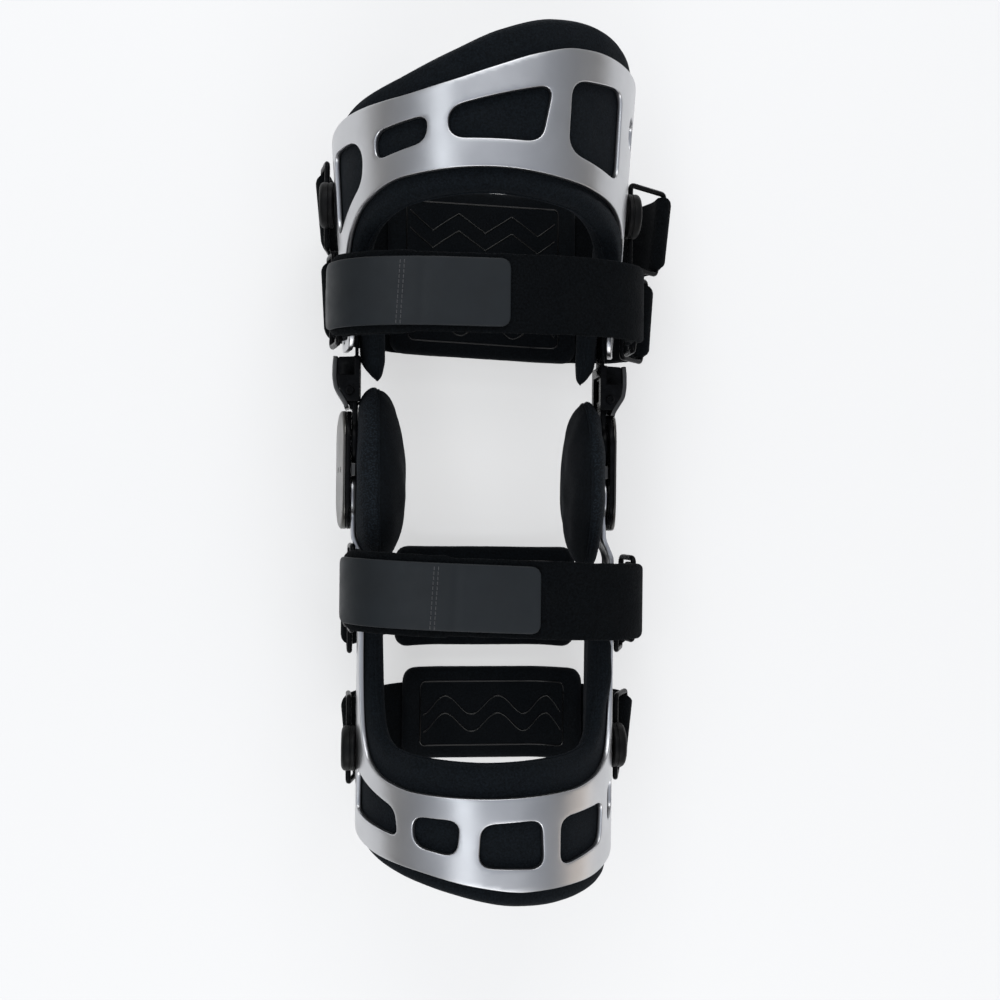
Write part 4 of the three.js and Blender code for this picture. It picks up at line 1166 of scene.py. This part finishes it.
class BRACE_OT_liners(bpy.types.Operator):
    """Sew and stuff the padded liners inside the cuffs"""
    bl_idname = "brace.liners"
    bl_label = "Liners"

    def execute(self, context):
        sizes = context.scene.brace_sizes
        cloth = finishes(context)["liner cloth"]
        sheet, thick = sizes.sheet / MM, sizes.liner / MM
        parts = (
            ("thigh_liner", arch(THIGH_LINER_ARCH), edge(THIGH_LINER_TOP), THIGH_PER_DEGREE,
             lambda y: TONGUE_STAND_OFF * fade(y, TONGUE_TOP), thigh_pattern()[0]),
            ("shin_liner", edge(SHIN_LINER_BOTTOM), arch(SHIN_LINER_ARCH, SHIN_LINER_ARCH_OUTER),
             SHIN_PER_DEGREE, lambda y: SHIN_TIP_STAND_OFF * fade(-y, JOG_TO), shin_pattern()[0]),
        )
        for node, lower, upper, per_degree, stand_off, metal in parts:
            metal = resampled(metal, 2.0)
            bulge, start, full, ebb, end = LINER_BULGE[node]
            angles = np.linspace(*LINER_ENDS, EDGE_STEPS)
            under = np.column_stack([angles * per_degree, lower(angles)])
            over = np.column_stack([angles * per_degree, upper(angles)])

            def place(s, y, below):
                away = sheet + LINER_STAND_OFF + stand_off(y)
                taper = (1.0 - smoothstep(y, TIP_POINT, TIP_ROOT)) * (y > 0)
                flat = np.column_stack([s, y])
                beyond = np.where(inside(flat, [metal]), 0.0, edge_distance(flat, [metal]))
                side = (1.0 - smoothstep(s / per_degree, *BULGE_ANGLES)) * (s > 0)
                free = smoothstep((y - start) / (full - start), 0.0, 1.0)
                free *= 1.0 - smoothstep((y - ebb) / (end - ebb), 0.0, 1.0)
                swell = bulge * smoothstep(beyond, BULGE_FROM, BULGE_TO) * side * free * (1.0 - below / thick)
                return around_leg(
                    s / per_degree, y, swell - away - thick + (thick - below) * (1.0 - TIP_TAPER * taper))

            outline = np.vstack([under, over[::-1]])
            piece, border = panel(
                f"{node}_padding", [outline], LINER_SPACING, thick / 2, thick, SOFT_ROWS, place)
            puffed(piece, PADDING_PRESSURE, sizes.puff / MM / 2)
            settle(piece, node, cloth)
            binding = (coordinates(piece.data)[border] - KNEE) / MM
            piping = loft(f"{node}_piping", tube_sections(binding, sizes.piping / MM, 7, True), True)
            trim(piping, node, cloth)
        return {"FINISHED"}


class BRACE_OT_condyle_pads(bpy.types.Operator):
    """Sew and stuff the pads at the sides of the knee"""
    bl_idname = "brace.condyle_pads"
    bl_label = "Condyle pads"

    def execute(self, context):
        sizes = context.scene.brace_sizes
        made = finishes(context)
        profile = [(share, x) for x, share in CONDYLE_PROFILE]
        for side, sign in SIDES:
            node = f"condyle_pad_{side}"
            level, half_height, stuffed, fuller = CONDYLE_PADS[side]

            def place(points):
                depth = (CONDYLE_BACK - points[:, 2]) * stuffed * (1.0 - fuller * points[:, 0])
                return np.column_stack([
                    sign * (CONDYLE_BACK - depth),
                    level + points[:, 0] * half_height,
                    points[:, 1] * CONDYLE_HALF_DEPTH])

            piece = lathe(f"{node}_cushion", profile, place, CONDYLE_SIDES)
            puffed(piece, PADDING_PRESSURE, sizes.puff / MM / 3)
            finer = piece.modifiers.new("finer", "SUBSURF")
            finer.levels = 1
            finer.render_levels = 1
            baked(piece)
            creased(piece, CONDYLE_CREASE_DEPTH, CONDYLE_CREASE_PITCH)
            settle(piece, node, made["pad cloth"])
            piece.data.materials.append(made["gusset knit"])
            seam_x, seam_share = CONDYLE_SEAM
            for face in piece.data.polygons:
                x, y, _ = (np.array(face.center) - KNEE) / MM
                line = (CONDYLE_BACK - seam_x) * stuffed * (1.0 - fuller * (y - level) / half_height)
                if abs(x) > CONDYLE_BACK - line:
                    face.material_index = 1
            seam = circle((0.0, 0.0), seam_share, CONDYLE_PIPING_STEPS)
            ring = place(np.column_stack([seam, np.full(len(seam), seam_x)]))
            piping = loft(f"{node}_piping", tube_sections(ring, sizes.piping / MM, 8, True), True)
            trim(piping, node, made["liner cloth"])
        return {"FINISHED"}


def wave_line(start, end, level, height, period):
    """A run of round waves along a pad."""
    s = np.linspace(start, end, 160)
    return np.column_stack([s, level + height * np.sin(2.0 * math.pi * (s - start) / period - math.pi / 2)])


def zigzag_line(start, end, level, height, period):
    """A run of sharp waves along a pad."""
    s = np.linspace(start, end, 161)
    return np.column_stack([s, level + height * (2.0 * np.abs(((s - start) / period) % 1.0 * 2.0 - 1.0) - 1.0)])


class BRACE_OT_rear_pads(bpy.types.Operator):
    """Sew the pads on the rear straps and mould their grip ridges"""
    bl_idname = "brace.rear_pads"
    bl_label = "Rear pads"

    def execute(self, context):
        sizes = context.scene.brace_sizes
        made = finishes(context)
        strap, thick = sizes.strap / MM, sizes.pad / MM
        for node, spec in REAR_STRAPS.items():
            line = strap_line(spec, sizes)
            middle = line.at[-1] / 2 + spec["pad_shift"]
            half = spec["pad_width"] / 2
            y, slope = spec["pad_y"], spec["slope"]

            def place(s, w, below):
                spot = line.place(middle + s, -(strap / 2 + GAP + thick - below))
                return np.column_stack([spot[:, 0], y + slope * spot[:, 0] + w, spot[:, 1]])

            reach = PAD_HALF_LENGTH
            outline = rounded(oblong(-reach, reach, half), PAD_CORNER)
            pad = spec["pad"]
            piece, _ = panel(f"{pad}_cushion", [outline], PAD_SPACING, thick / 2, thick, SOFT_ROWS, place)
            puffed(piece, REAR_PAD_PRESSURE, REAR_PAD_SWELL)
            frame_x, frame_y = reach - GRIP_INSET_X, half - GRIP_INSET_Y
            border = resampled(rounded(oblong(-frame_x, frame_x, frame_y), GRIP_CORNER), 1.2)
            shape = zigzag_line if node == "thigh_strap_upper" else wave_line
            period = 2.0 * frame_x / GRIP_PERIODS
            wave_end = frame_x - GRIP_MARGIN
            waves = [shape(-wave_end, wave_end, level, GRIP_HEIGHT, period) for level in GRIP_LEVELS]
            ridges = []
            radius = sizes.ridge / MM
            skin = BVHTree.FromPolygons(
                (coordinates(piece.data) - KNEE) / MM, [tuple(face.vertices) for face in piece.data.polygons])
            for flat, closed in [(border, True)] + [(wave, False) for wave in waves]:
                spots = place(flat[:, 0], flat[:, 1], np.zeros(len(flat)))
                above = place(flat[:, 0], flat[:, 1], np.full(len(flat), -GRIP_DROP))
                on_skin = [skin.ray_cast(Vector(start), Vector(end - start), GRIP_DROP_LIMIT)[0]
                           for start, end in zip(above, spots)]
                spots = np.array([hit or spot for hit, spot in zip(on_skin, spots)])
                spots -= (above - spots) / GRIP_DROP * radius * GRIP_SUNK
                ridges.append(loft(f"{pad}_ridge", tube_sections(spots, radius, 8, closed), closed))
            grip = joined(f"{pad}_grip", ridges)
            grip.data.polygons.foreach_set("use_smooth", [True] * len(grip.data.polygons))
            settle(piece, pad, made["pad cloth"])
            trim(grip, pad, made["grip rubber"])
        return {"FINISHED"}


# Straps, tabs and rings

class BRACE_OT_straps(bpy.types.Operator):
    """Weave the straps and fold their ends round the rings"""
    bl_idname = "brace.straps"
    bl_label = "Straps"

    def execute(self, context):
        sizes = context.scene.brace_sizes
        webbing = finishes(context)["loop webbing"]
        thick = sizes.strap / MM
        layer = thick + STRAP_LAYER_GAP
        for number, (node, spec) in enumerate({**FRONT_STRAPS, **REAR_STRAPS}.items()):
            line = strap_line(spec, sizes)
            front = node in FRONT_STRAPS
            run = line.folded(FRONT_FOLDS if front else (REAR_FOLD, REAR_FOLD), layer)
            wide = spec["width"]
            low, high = run[:, 0].min(), run[:, 0].max()

            def width(x):
                layers = 0.0
                if front:
                    end = spec["layer_end"]
                    past = float(smoothstep(x, end - STRAP_LAYER_STEP, end + STRAP_LAYER_STEP))
                    layers = STRAP_LAYER_WIDER * (1.0 - past)
                short = max(0.0, 1.0 - min(high - x, x - low) / STRAP_END_ROUNDING)
                return wide + layers - 2.0 * STRAP_END_ROUNDING * (1.0 - math.sqrt(1.0 - short * short))

            def lean(x, z):
                rise = float(smoothstep(z, GROUND + STRAP_LEAN_FROM, spec["wires"][0][1]))
                return math.copysign(spec.get("lean", 0.0) * rise, x)

            sections = strap_sections(run, thick, width, spec["y"], spec["slope"], lean, number + 3)
            piece = loft(f"{node}_webbing", sections)
            settle(piece, node, webbing)
        return {"FINISHED"}


class BRACE_OT_tabs(bpy.types.Operator):
    """Cut the coated closing tabs and sew them"""
    bl_idname = "brace.tabs"
    bl_label = "Closing tabs"

    def execute(self, context):
        sizes = context.scene.brace_sizes
        made = finishes(context)
        strap, thick = sizes.strap / MM, sizes.tab / MM
        for node, spec in FRONT_STRAPS.items():
            tab = f"{node}_tab"
            line = strap_line(spec, sizes)
            end = line.where(spec["tab_end"])
            half = FRONT_TAB_WIDTH / 2
            y, slope = spec["y"], spec["slope"]
            crease = line.where(spec["layer_end"] + DENT_AFTER)

            def place(s, w, below):
                dent = DENT_DEPTH * np.exp(-((s - crease - DENT_SLANT * w) / DENT_WIDTH) ** 2)
                spot = line.place(s, -(strap / 2 + GAP + thick - below - dent))
                return np.column_stack([spot[:, 0], y + slope * spot[:, 0] + w, spot[:, 1]])

            free = rounded(oblong(0.0, end, half), TAB_END_CORNER)
            bowed = rounded(oblong(0.0, end, half), TAB_FOLD_CORNER)
            first, last = CORNER_STEPS, 3 * CORNER_STEPS
            outline = np.vstack([bowed[:first], free[first:last], bowed[last:]])
            piece, _ = panel(f"{tab}_plate", [outline], TAB_SPACING, TAB_EDGE, thick, TAB_ROWS, place)
            settle(piece, tab, made["coated tab"])

            seam = line.where(spec["layer_end"] - SEAM_BEFORE)
            rows = np.arange(-half + SEAM_MARGINS[0], half - SEAM_MARGINS[1], sizes.stitch / MM * STITCH_PITCH)
            places, along, up = [], [], []
            for shift in SEAM_ROWS:
                s = np.full(len(rows), seam + shift) + rows * SEAM_SLANT
                spots = place(s, rows, np.zeros(len(rows)))
                over = place(s, rows, np.full(len(rows), -1.0)) - spots
                places.append(spots)
                up.append(over)
                along.append(np.tile([0.0, 1.0, 0.0], (len(rows), 1)))
            thread = stitching(
                f"{tab}_stitching", np.vstack(places), np.vstack(along), np.vstack(up),
                sizes.stitch / MM, THREAD_RADIUS)
            trim(thread, tab, made["sewing thread"])
        return {"FINISHED"}


def button_base(y, sign):
    """How far out a button's foot stands on the metal's side."""
    angle = 0.0 if sign > 0 else 180.0
    heights = np.array([y - BUTTON_RADIUS, y, y + BUTTON_RADIUS])
    return float(np.abs(around_leg(np.full(3, angle), heights, 0.0)[:, 0]).max()) + GAP


class BRACE_OT_rings(bpy.types.Operator):
    """Bend the wire rings that carry the straps"""
    bl_idname = "brace.rings"
    bl_label = "Wire rings"

    def execute(self, context):
        sizes = context.scene.brace_sizes
        enamel = finishes(context)["black enamel"]
        wire = sizes.wire / MM
        straps = {**FRONT_STRAPS, **REAR_STRAPS}
        for spec in BUTTONS.values():
            for index, (side, sign) in enumerate(SIDES):
                held_x = sign * (button_base(spec["y"], sign) + BUTTON_THICK / 2)
                for strap, held_z in (spec[key] for key in ("front", "rear") if key in spec):
                    band = straps[strap]
                    out_x, out_z = band["wires"][index]
                    level = band["y"] + band["slope"] * out_x
                    half = band["width"] / 2 + 2 * GAP + wire
                    reach = math.hypot(out_x - held_x, out_z - held_z)
                    flat = resampled(
                        rounded([(-half, 0), (half, 0), (half, reach), (-half, reach)], RING_CORNER), 0.8)
                    share = flat[:, 1] / reach
                    lean = sign * band.get("lean", 0.0) * flat[:, 0]
                    points = np.column_stack([
                        held_x + (out_x - held_x + lean) * share,
                        level + flat[:, 0],
                        held_z + (out_z - held_z) * share])
                    node = f"{strap.replace('strap', 'ring')}_{side}"
                    piece = loft(f"{node}_wire", tube_sections(points, wire * RING_WIRE_SHARE, 12, True), True)
                    settle(piece, node, enamel)
        return {"FINISHED"}


class BRACE_OT_buttons(bpy.types.Operator):
    """Mould the buttons that hold the rings on the metal"""
    bl_idname = "brace.buttons"
    bl_label = "Ring buttons"

    def execute(self, context):
        sizes = context.scene.brace_sizes
        plastic = finishes(context)["moulded plastic"]
        slot = sizes.wire / MM + GAP
        r, t = BUTTON_RADIUS, BUTTON_THICK
        profile = [
            (0, 0), (r - 0.5, 0), (r, 0.5), (r, 1.6), (r - 0.35, 1.9), (r - 0.35, 2.3), (r, 2.6), (r, t - 1.8),
            (r - 0.4, t - 1.0), (r - 1.2, t - 0.35), (r - 2.2, t), (r - 3.4, t - 0.1), (r - 3.9, t - 0.7),
            (r - 4.6, t - 0.8), (0, t - 0.7),
        ]
        for name, spec in BUTTONS.items():
            for side, sign in SIDES:
                node = f"{name}_{side}"
                base = button_base(spec["y"], sign)

                def place(points):
                    return np.column_stack([
                        sign * (base + points[:, 2]), spec["y"] + points[:, 0], points[:, 1]])

                piece = lathe(f"{node}_disc", profile, place, 56)
                middle = sign * (base + t / 2)
                cutters = []
                for key in ("front", "rear"):
                    if key in spec:
                        z = spec[key][1]
                        cutters.append(make_piece("slot", *box_points(
                            (middle - slot, spec["y"] - r - CUT_PAST, z - slot),
                            (middle + slot, spec["y"] + r + CUT_PAST, z + slot))))
                carve(piece, cutters)
                shade_by_angle(piece)
                settle(piece, node, plastic)
        return {"FINISHED"}


# Hinges

def side_plate(sign, outside):
    """Places a flat pattern of (height, depth) on one side of the knee."""
    return lambda y, z, below: np.column_stack([np.full(len(y), 1.0) * sign * (outside - below), y, z])


def stadium(radius):
    """Long round outline over both pivots."""
    turn = np.linspace(-math.pi / 2, math.pi / 2, 48)
    top = np.column_stack([PIVOT_Y + radius * np.cos(turn), radius * np.sin(turn)])
    return np.vstack([top, top * np.array([-1.0, -1.0])])


class BRACE_OT_hinges(bpy.types.Operator):
    """Build the hinge covers, bodies and arms"""
    bl_idname = "brace.hinges"
    bl_label = "Hinges"

    def execute(self, context):
        made = finishes(context)
        reach = ARM_END_RADIUS * math.sqrt(0.5)
        half = CLEVIS_SLOT_HALF - GAP
        top = CLEVIS_SLOT_TOP - GAP
        root = CLEVIS_Y[0] - ARM_NECK
        turn = np.linspace(0.25 * math.pi, 1.75 * math.pi, 60)
        arm = np.vstack([
            np.column_stack([PIVOT_Y + ARM_END_RADIUS * np.cos(turn), ARM_END_RADIUS * np.sin(turn)]),
            [(root, -half), (top, -half), (top, half), (root, half), (PIVOT_Y + reach, reach)]])
        for side, sign in SIDES:
            thick = COVER_X[1] - COVER_X[0]

            def wedge(y, z, below):
                fall = COVER_WEDGE * (z + HINGE_RADIUS) / (2 * HINGE_RADIUS) * (1.0 - below / thick)
                return np.column_stack([sign * (COVER_X[1] - below - fall), y, z])

            cover, _ = panel(
                f"hinge_cover_{side}_shell", [stadium(HINGE_RADIUS)],
                COVER_SPACING, COVER_EDGE, thick, COVER_ROWS, wedge, COVER_EDGE, 0.0)
            drills = []
            for z in COVER_HOLES:
                drills.append(lathe(
                    "drill", [(0, -thick), (COVER_HOLE_RADIUS, -thick), (COVER_HOLE_RADIUS, thick), (0, thick)],
                    lambda points: np.column_stack([
                        sign * (COVER_X[1] - points[:, 2]), points[:, 0], z + points[:, 1]]), 24))
            carve(cover, drills)
            shade_by_angle(cover, 50.0)
            settle(cover, f"hinge_cover_{side}", made["glossy gunmetal"])
            pins = [circle((y, 0.0), PIN_RADIUS + GAP, 36) for y in (PIVOT_Y, -PIVOT_Y)]
            body, _ = panel(
                f"hinge_body_{side}_plate", [stadium(HINGE_RADIUS), *pins],
                PLATE_SPACING, PLATE_EDGE, BODY_X[1] - BODY_X[0], PLATE_ROWS, side_plate(sign, BODY_X[1]))
            settle(body, f"hinge_body_{side}", made["black enamel"])
            stop_x = sorted((sign * STOP_X[0], sign * STOP_X[1]))
            stop = make_piece(f"hinge_body_{side}_stop", *box_points(
                (stop_x[0], -STOP_HALF_HEIGHT, STOP_Z[0]), (stop_x[1], STOP_HALF_HEIGHT, STOP_Z[1])))
            soften(stop, STOP_EDGE, 3)
            trim(stop, f"hinge_body_{side}", made["blackened steel"])
            blade, _ = panel(
                f"thigh_arm_{side}_blade", [arm, circle((PIVOT_Y, 0.0), PIN_RADIUS + GAP, 36)],
                PLATE_SPACING, PLATE_EDGE, ARM_X[1] - ARM_X[0], PLATE_ROWS, side_plate(sign, ARM_X[1]))
            span = sorted((sign * ARM_X[0], sign * (CHEEK_LINE[2][0] - CHEEK / 2)))
            knuckle = make_piece("knuckle", *box_points(
                (span[0], NECK[-1][1] - GAP, -half), (span[1], top + CLEVIS_SHIFT[side], half)))
            soften(knuckle, KNUCKLE_EDGE, 3)

            def across_neck(x, y, below):
                return np.column_stack([sign * x, y, NECK_HALF_DEPTH - below])

            neck, _ = panel(
                "neck", [np.array(NECK)], CHEEK_SPACING, PLATE_EDGE, 2 * NECK_HALF_DEPTH, PLATE_ROWS, across_neck)
            whole = joined(f"thigh_arm_{side}_bar", [blade, knuckle, neck])
            shade_by_angle(whole)
            settle(whole, f"thigh_arm_{side}", made["black enamel"])
            for level in ("upper", "lower"):
                dress(frame["nodes"][f"hinge_pin_{level}_{side}"], made["drawn steel"])
        return {"FINISHED"}


class BRACE_OT_clevises(bpy.types.Operator):
    """Mill the clevises that join the hinge arms to the thigh uprights, with their bent cheeks"""
    bl_idname = "brace.clevises"
    bl_label = "Clevises"

    def execute(self, context):
        made = finishes(context)
        (foot, head), deep = CLEVIS_Y, CLEVIS_HALF_DEPTH
        bend = resampled(CHEEK_LINE, 0.9, closed=False)
        kernel = np.hanning(7) / np.hanning(7).sum()
        padded = np.vstack([np.repeat(bend[:1], 3, 0), bend, np.repeat(bend[-1:], 3, 0)])
        bend = np.column_stack([np.convolve(column, kernel, "valid") for column in padded.T])
        along = np.gradient(bend, axis=0)
        along /= np.linalg.norm(along, axis=1)[:, None]
        out = np.column_stack([along[:, 1], -along[:, 0]])
        cheek_outline = np.vstack([bend + out * CHEEK / 2, (bend - out * CHEEK / 2)[::-1]])
        face = bend - out * (CHEEK / 2 + CHEEK_GAP)
        face = face[face[:, 1] > foot]
        outline = np.vstack([[(CLEVIS_INSIDE, foot), (face[0, 0], foot)], face, [(CLEVIS_INSIDE, head)]])
        for side, sign in SIDES:
            shift = CLEVIS_SHIFT[side]

            def from_front(half_depth):
                return lambda x, y, below: np.column_stack([sign * x, y + shift, half_depth - below])

            block, _ = panel(
                f"clevis_{side}_fork", [outline, circle(CLEVIS_PIN, SCREW_RADIUS + GAP, 24)],
                CLEVIS_SPACING, CLEVIS_EDGE, 2 * deep, PLATE_ROWS, from_front(deep))
            tongue_x = sorted((sign * TONGUE_X[0], sign * TONGUE_X[1]))
            tongue = make_piece("tongue", *box_points(
                (tongue_x[0], TONGUE_Y[0], -TONGUE_HALF_DEPTH), (tongue_x[1], TONGUE_Y[1], TONGUE_HALF_DEPTH)))
            soften(tongue, TONGUE_EDGE)
            span = sorted((sign * (CLEVIS_INSIDE - CUT_PAST), sign * CUT_OUT_TO))
            step_span = sorted((sign * (CLEVIS_INSIDE + CLEVIS_LIP), sign * CUT_OUT_TO))
            cutters = [
                make_piece("fork", *box_points(
                    (span[0], foot + shift - CUT_PAST, -CLEVIS_SLOT_HALF),
                    (span[1], CLEVIS_SLOT_TOP + shift, CLEVIS_SLOT_HALF))),
                make_piece("step", *box_points(
                    (step_span[0], CLEVIS_STEP_Y + shift, deep - CLEVIS_STEP),
                    (step_span[1], head + CUT_PAST, deep + CUT_PAST))),
            ]
            carve(block, cutters)
            whole = joined(f"clevis_{side}_body", [block, tongue])
            shade_by_angle(whole)
            settle(whole, f"clevis_{side}", made["black enamel"])

            cheek, _ = panel(
                f"clevis_{side}_cheek", [cheek_outline], CHEEK_SPACING, PLATE_EDGE, 2 * CHEEK_HALF_DEPTH,
                PLATE_ROWS, from_front(CHEEK_HALF_DEPTH))
            shade_by_angle(cheek)
            trim(cheek, f"clevis_{side}", made["blackened steel"])

            seat = deep + GAP
            r, head_r = SCREW_RADIUS, SCREW_HEAD_RADIUS
            rise = seat + SCREW_HEAD
            profile = [
                (0, -deep), (r, -deep), (r, seat), (head_r - 0.2, seat), (head_r, seat + 0.3),
                (head_r, rise - 0.4), (head_r - 0.4, rise), (1.35, rise), (1.2, rise - 0.9), (0, rise - 1.0),
            ]

            def upright(points):
                return np.column_stack([
                    sign * (CLEVIS_PIN[0] + points[:, 0]), CLEVIS_PIN[1] + shift + points[:, 1], points[:, 2]])

            screw = lathe(f"clevis_screw_{side}_turned", profile, upright, 32)
            shade_by_angle(screw)
            settle(screw, f"clevis_screw_{side}", made["black enamel"])
        return {"FINISHED"}


# Stage

def soft_light(name, place, size, energy, target, along, colour):
    """A studio light of (width, length) turned to a target, its length running along a direction."""
    data = bpy.data.lights.new(name, "AREA")
    data.shape = "RECTANGLE"
    data.size, data.size_y = size
    data.energy = energy
    data.color = colour
    lamp = bpy.data.objects.new(name, data)
    back = (Vector(place) - Vector(target)).normalized()
    run = Vector(along)
    run = (run - back * run.dot(back)).normalized()
    lamp.matrix_world = Matrix.Translation(place) @ Matrix((run.cross(back), run, back)).transposed().to_4x4()
    bpy.context.scene.collection.objects.link(lamp)


class BRACE_OT_stage(bpy.types.Operator):
    """Set the floor, the soft lights, the surroundings and the camera"""
    bl_idname = "brace.stage"
    bl_label = "Stage"

    def execute(self, context):
        scene = context.scene
        mesh = bpy.data.meshes.new("floor")
        corners = oblong(-FLOOR_HALF, FLOOR_HALF, FLOOR_HALF)
        mesh.from_pydata([(x, y, FLOOR_LEVEL) for x, y in corners], [], [(0, 1, 2, 3)])
        floor = bpy.data.objects.new("floor", mesh)
        scene.collection.objects.link(floor)
        paint = bpy.data.materials.new("pale floor")
        paint.use_nodes = True
        tree = paint.node_tree
        tree.nodes.clear()
        output = tree.nodes.new("ShaderNodeOutputMaterial")
        mix = tree.nodes.new("ShaderNodeMixShader")
        clear = tree.nodes.new("ShaderNodeBsdfTransparent")
        matte = tree.nodes.new("ShaderNodeBsdfDiffuse")
        matte.inputs["Color"].default_value = (*scene.brace_colours.floor, 1.0)
        mix.inputs[0].default_value = 1.0 - FLOOR_CLEAR
        tree.links.new(clear.outputs[0], mix.inputs[1])
        tree.links.new(matte.outputs[0], mix.inputs[2])
        tree.links.new(mix.outputs[0], output.inputs["Surface"])
        mesh.materials.append(paint)

        world = bpy.data.worlds.new("studio")
        scene.world = world
        world.use_nodes = True
        sky = world.node_tree
        where = sky.nodes.new("ShaderNodeTexCoord")
        axes = sky.nodes.new("ShaderNodeSeparateXYZ")
        climb = sky.nodes.new("ShaderNodeMapRange")
        climb.inputs["From Min"].default_value = -1.0
        shades = sky.nodes.new("ShaderNodeValToRGB")
        stops = shades.color_ramp.elements
        for position, shade in SKY_STOPS[1:-1]:
            stops.new(position).color = (*shade, 1.0)
        stops[0].color = (*SKY_STOPS[0][1], 1.0)
        stops[len(stops) - 1].color = (*SKY_STOPS[-1][1], 1.0)
        background = sky.nodes["Background"]
        sky.links.new(where.outputs["Generated"], axes.inputs[0])
        sky.links.new(axes.outputs["Z"], climb.inputs["Value"])
        sky.links.new(climb.outputs["Result"], shades.inputs["Fac"])
        sky.links.new(shades.outputs["Color"], background.inputs["Color"])
        scene.view_settings.view_transform = "Standard"

        middle = Vector(KNEE)
        for name, (away, size, energy, along, colour) in LIGHTS.items():
            soft_light(name, middle + Vector(away), size, energy, middle, along, colour)

        target = middle + Vector((*CAMERA_TARGET, 0.0)) * MM
        data = bpy.data.cameras.new("camera")
        data.sensor_width = SENSOR_WIDTH
        data.lens = FOCAL_LENGTH
        data.clip_start, data.clip_end = 0.01, 20.0
        camera = bpy.data.objects.new("camera", data)
        back = Vector((-math.sin(CAMERA_ROLL), 0.0, math.cos(CAMERA_ROLL)))
        right = Vector((math.cos(CAMERA_ROLL), 0.0, math.sin(CAMERA_ROLL)))
        up = Vector((0.0, 1.0, 0.0))
        turned_right = right * math.cos(PICTURE_TURN) + up * math.sin(PICTURE_TURN)
        turned_up = up * math.cos(PICTURE_TURN) - right * math.sin(PICTURE_TURN)
        turn = Matrix((turned_right, turned_up, back)).transposed()
        camera.matrix_world = Matrix.Translation(target + back * CAMERA_DISTANCE * MM) @ turn.to_4x4()
        scene.collection.objects.link(camera)
        scene.camera = camera
        return {"FINISHED"}


class BRACE_PT_panel(bpy.types.Panel):
    """Lists the steps that build the brace"""
    bl_idname = "BRACE_PT_panel"
    bl_label = "Knee Brace"
    bl_space_type = "VIEW_3D"
    bl_region_type = "UI"
    bl_category = "Knee Brace"

    def draw(self, context):
        layout = self.layout
        for group in (context.scene.brace_sizes, context.scene.brace_colours):
            box = layout.box()
            for name in group.__annotations__:
                box.prop(group, name)
        for step in STEPS:
            layout.operator(step.bl_idname)


STEPS = (
    BRACE_OT_stage, BRACE_OT_cuffs, BRACE_OT_liners, BRACE_OT_condyle_pads, BRACE_OT_rear_pads,
    BRACE_OT_straps, BRACE_OT_tabs, BRACE_OT_rings, BRACE_OT_buttons, BRACE_OT_hinges, BRACE_OT_clevises,
)
CLASSES = (BraceSizes, BraceColours, *STEPS, BRACE_PT_panel)


def register():
    for cls in CLASSES:
        bpy.utils.register_class(cls)
    bpy.types.Scene.brace_sizes = bpy.props.PointerProperty(type=BraceSizes)
    bpy.types.Scene.brace_colours = bpy.props.PointerProperty(type=BraceColours)


def unregister():
    del bpy.types.Scene.brace_colours
    del bpy.types.Scene.brace_sizes
    for cls in reversed(CLASSES):
        bpy.utils.unregister_class(cls)


def main():
    register()
    bpy.ops.brace.stage()
    bpy.ops.brace.cuffs()
    bpy.ops.brace.liners()
    bpy.ops.brace.condyle_pads()
    bpy.ops.brace.rear_pads()
    bpy.ops.brace.straps()
    bpy.ops.brace.tabs()
    bpy.ops.brace.rings()
    bpy.ops.brace.buttons()
    bpy.ops.brace.hinges()
    bpy.ops.brace.clevises()


if __name__ == "__main__":
    main()
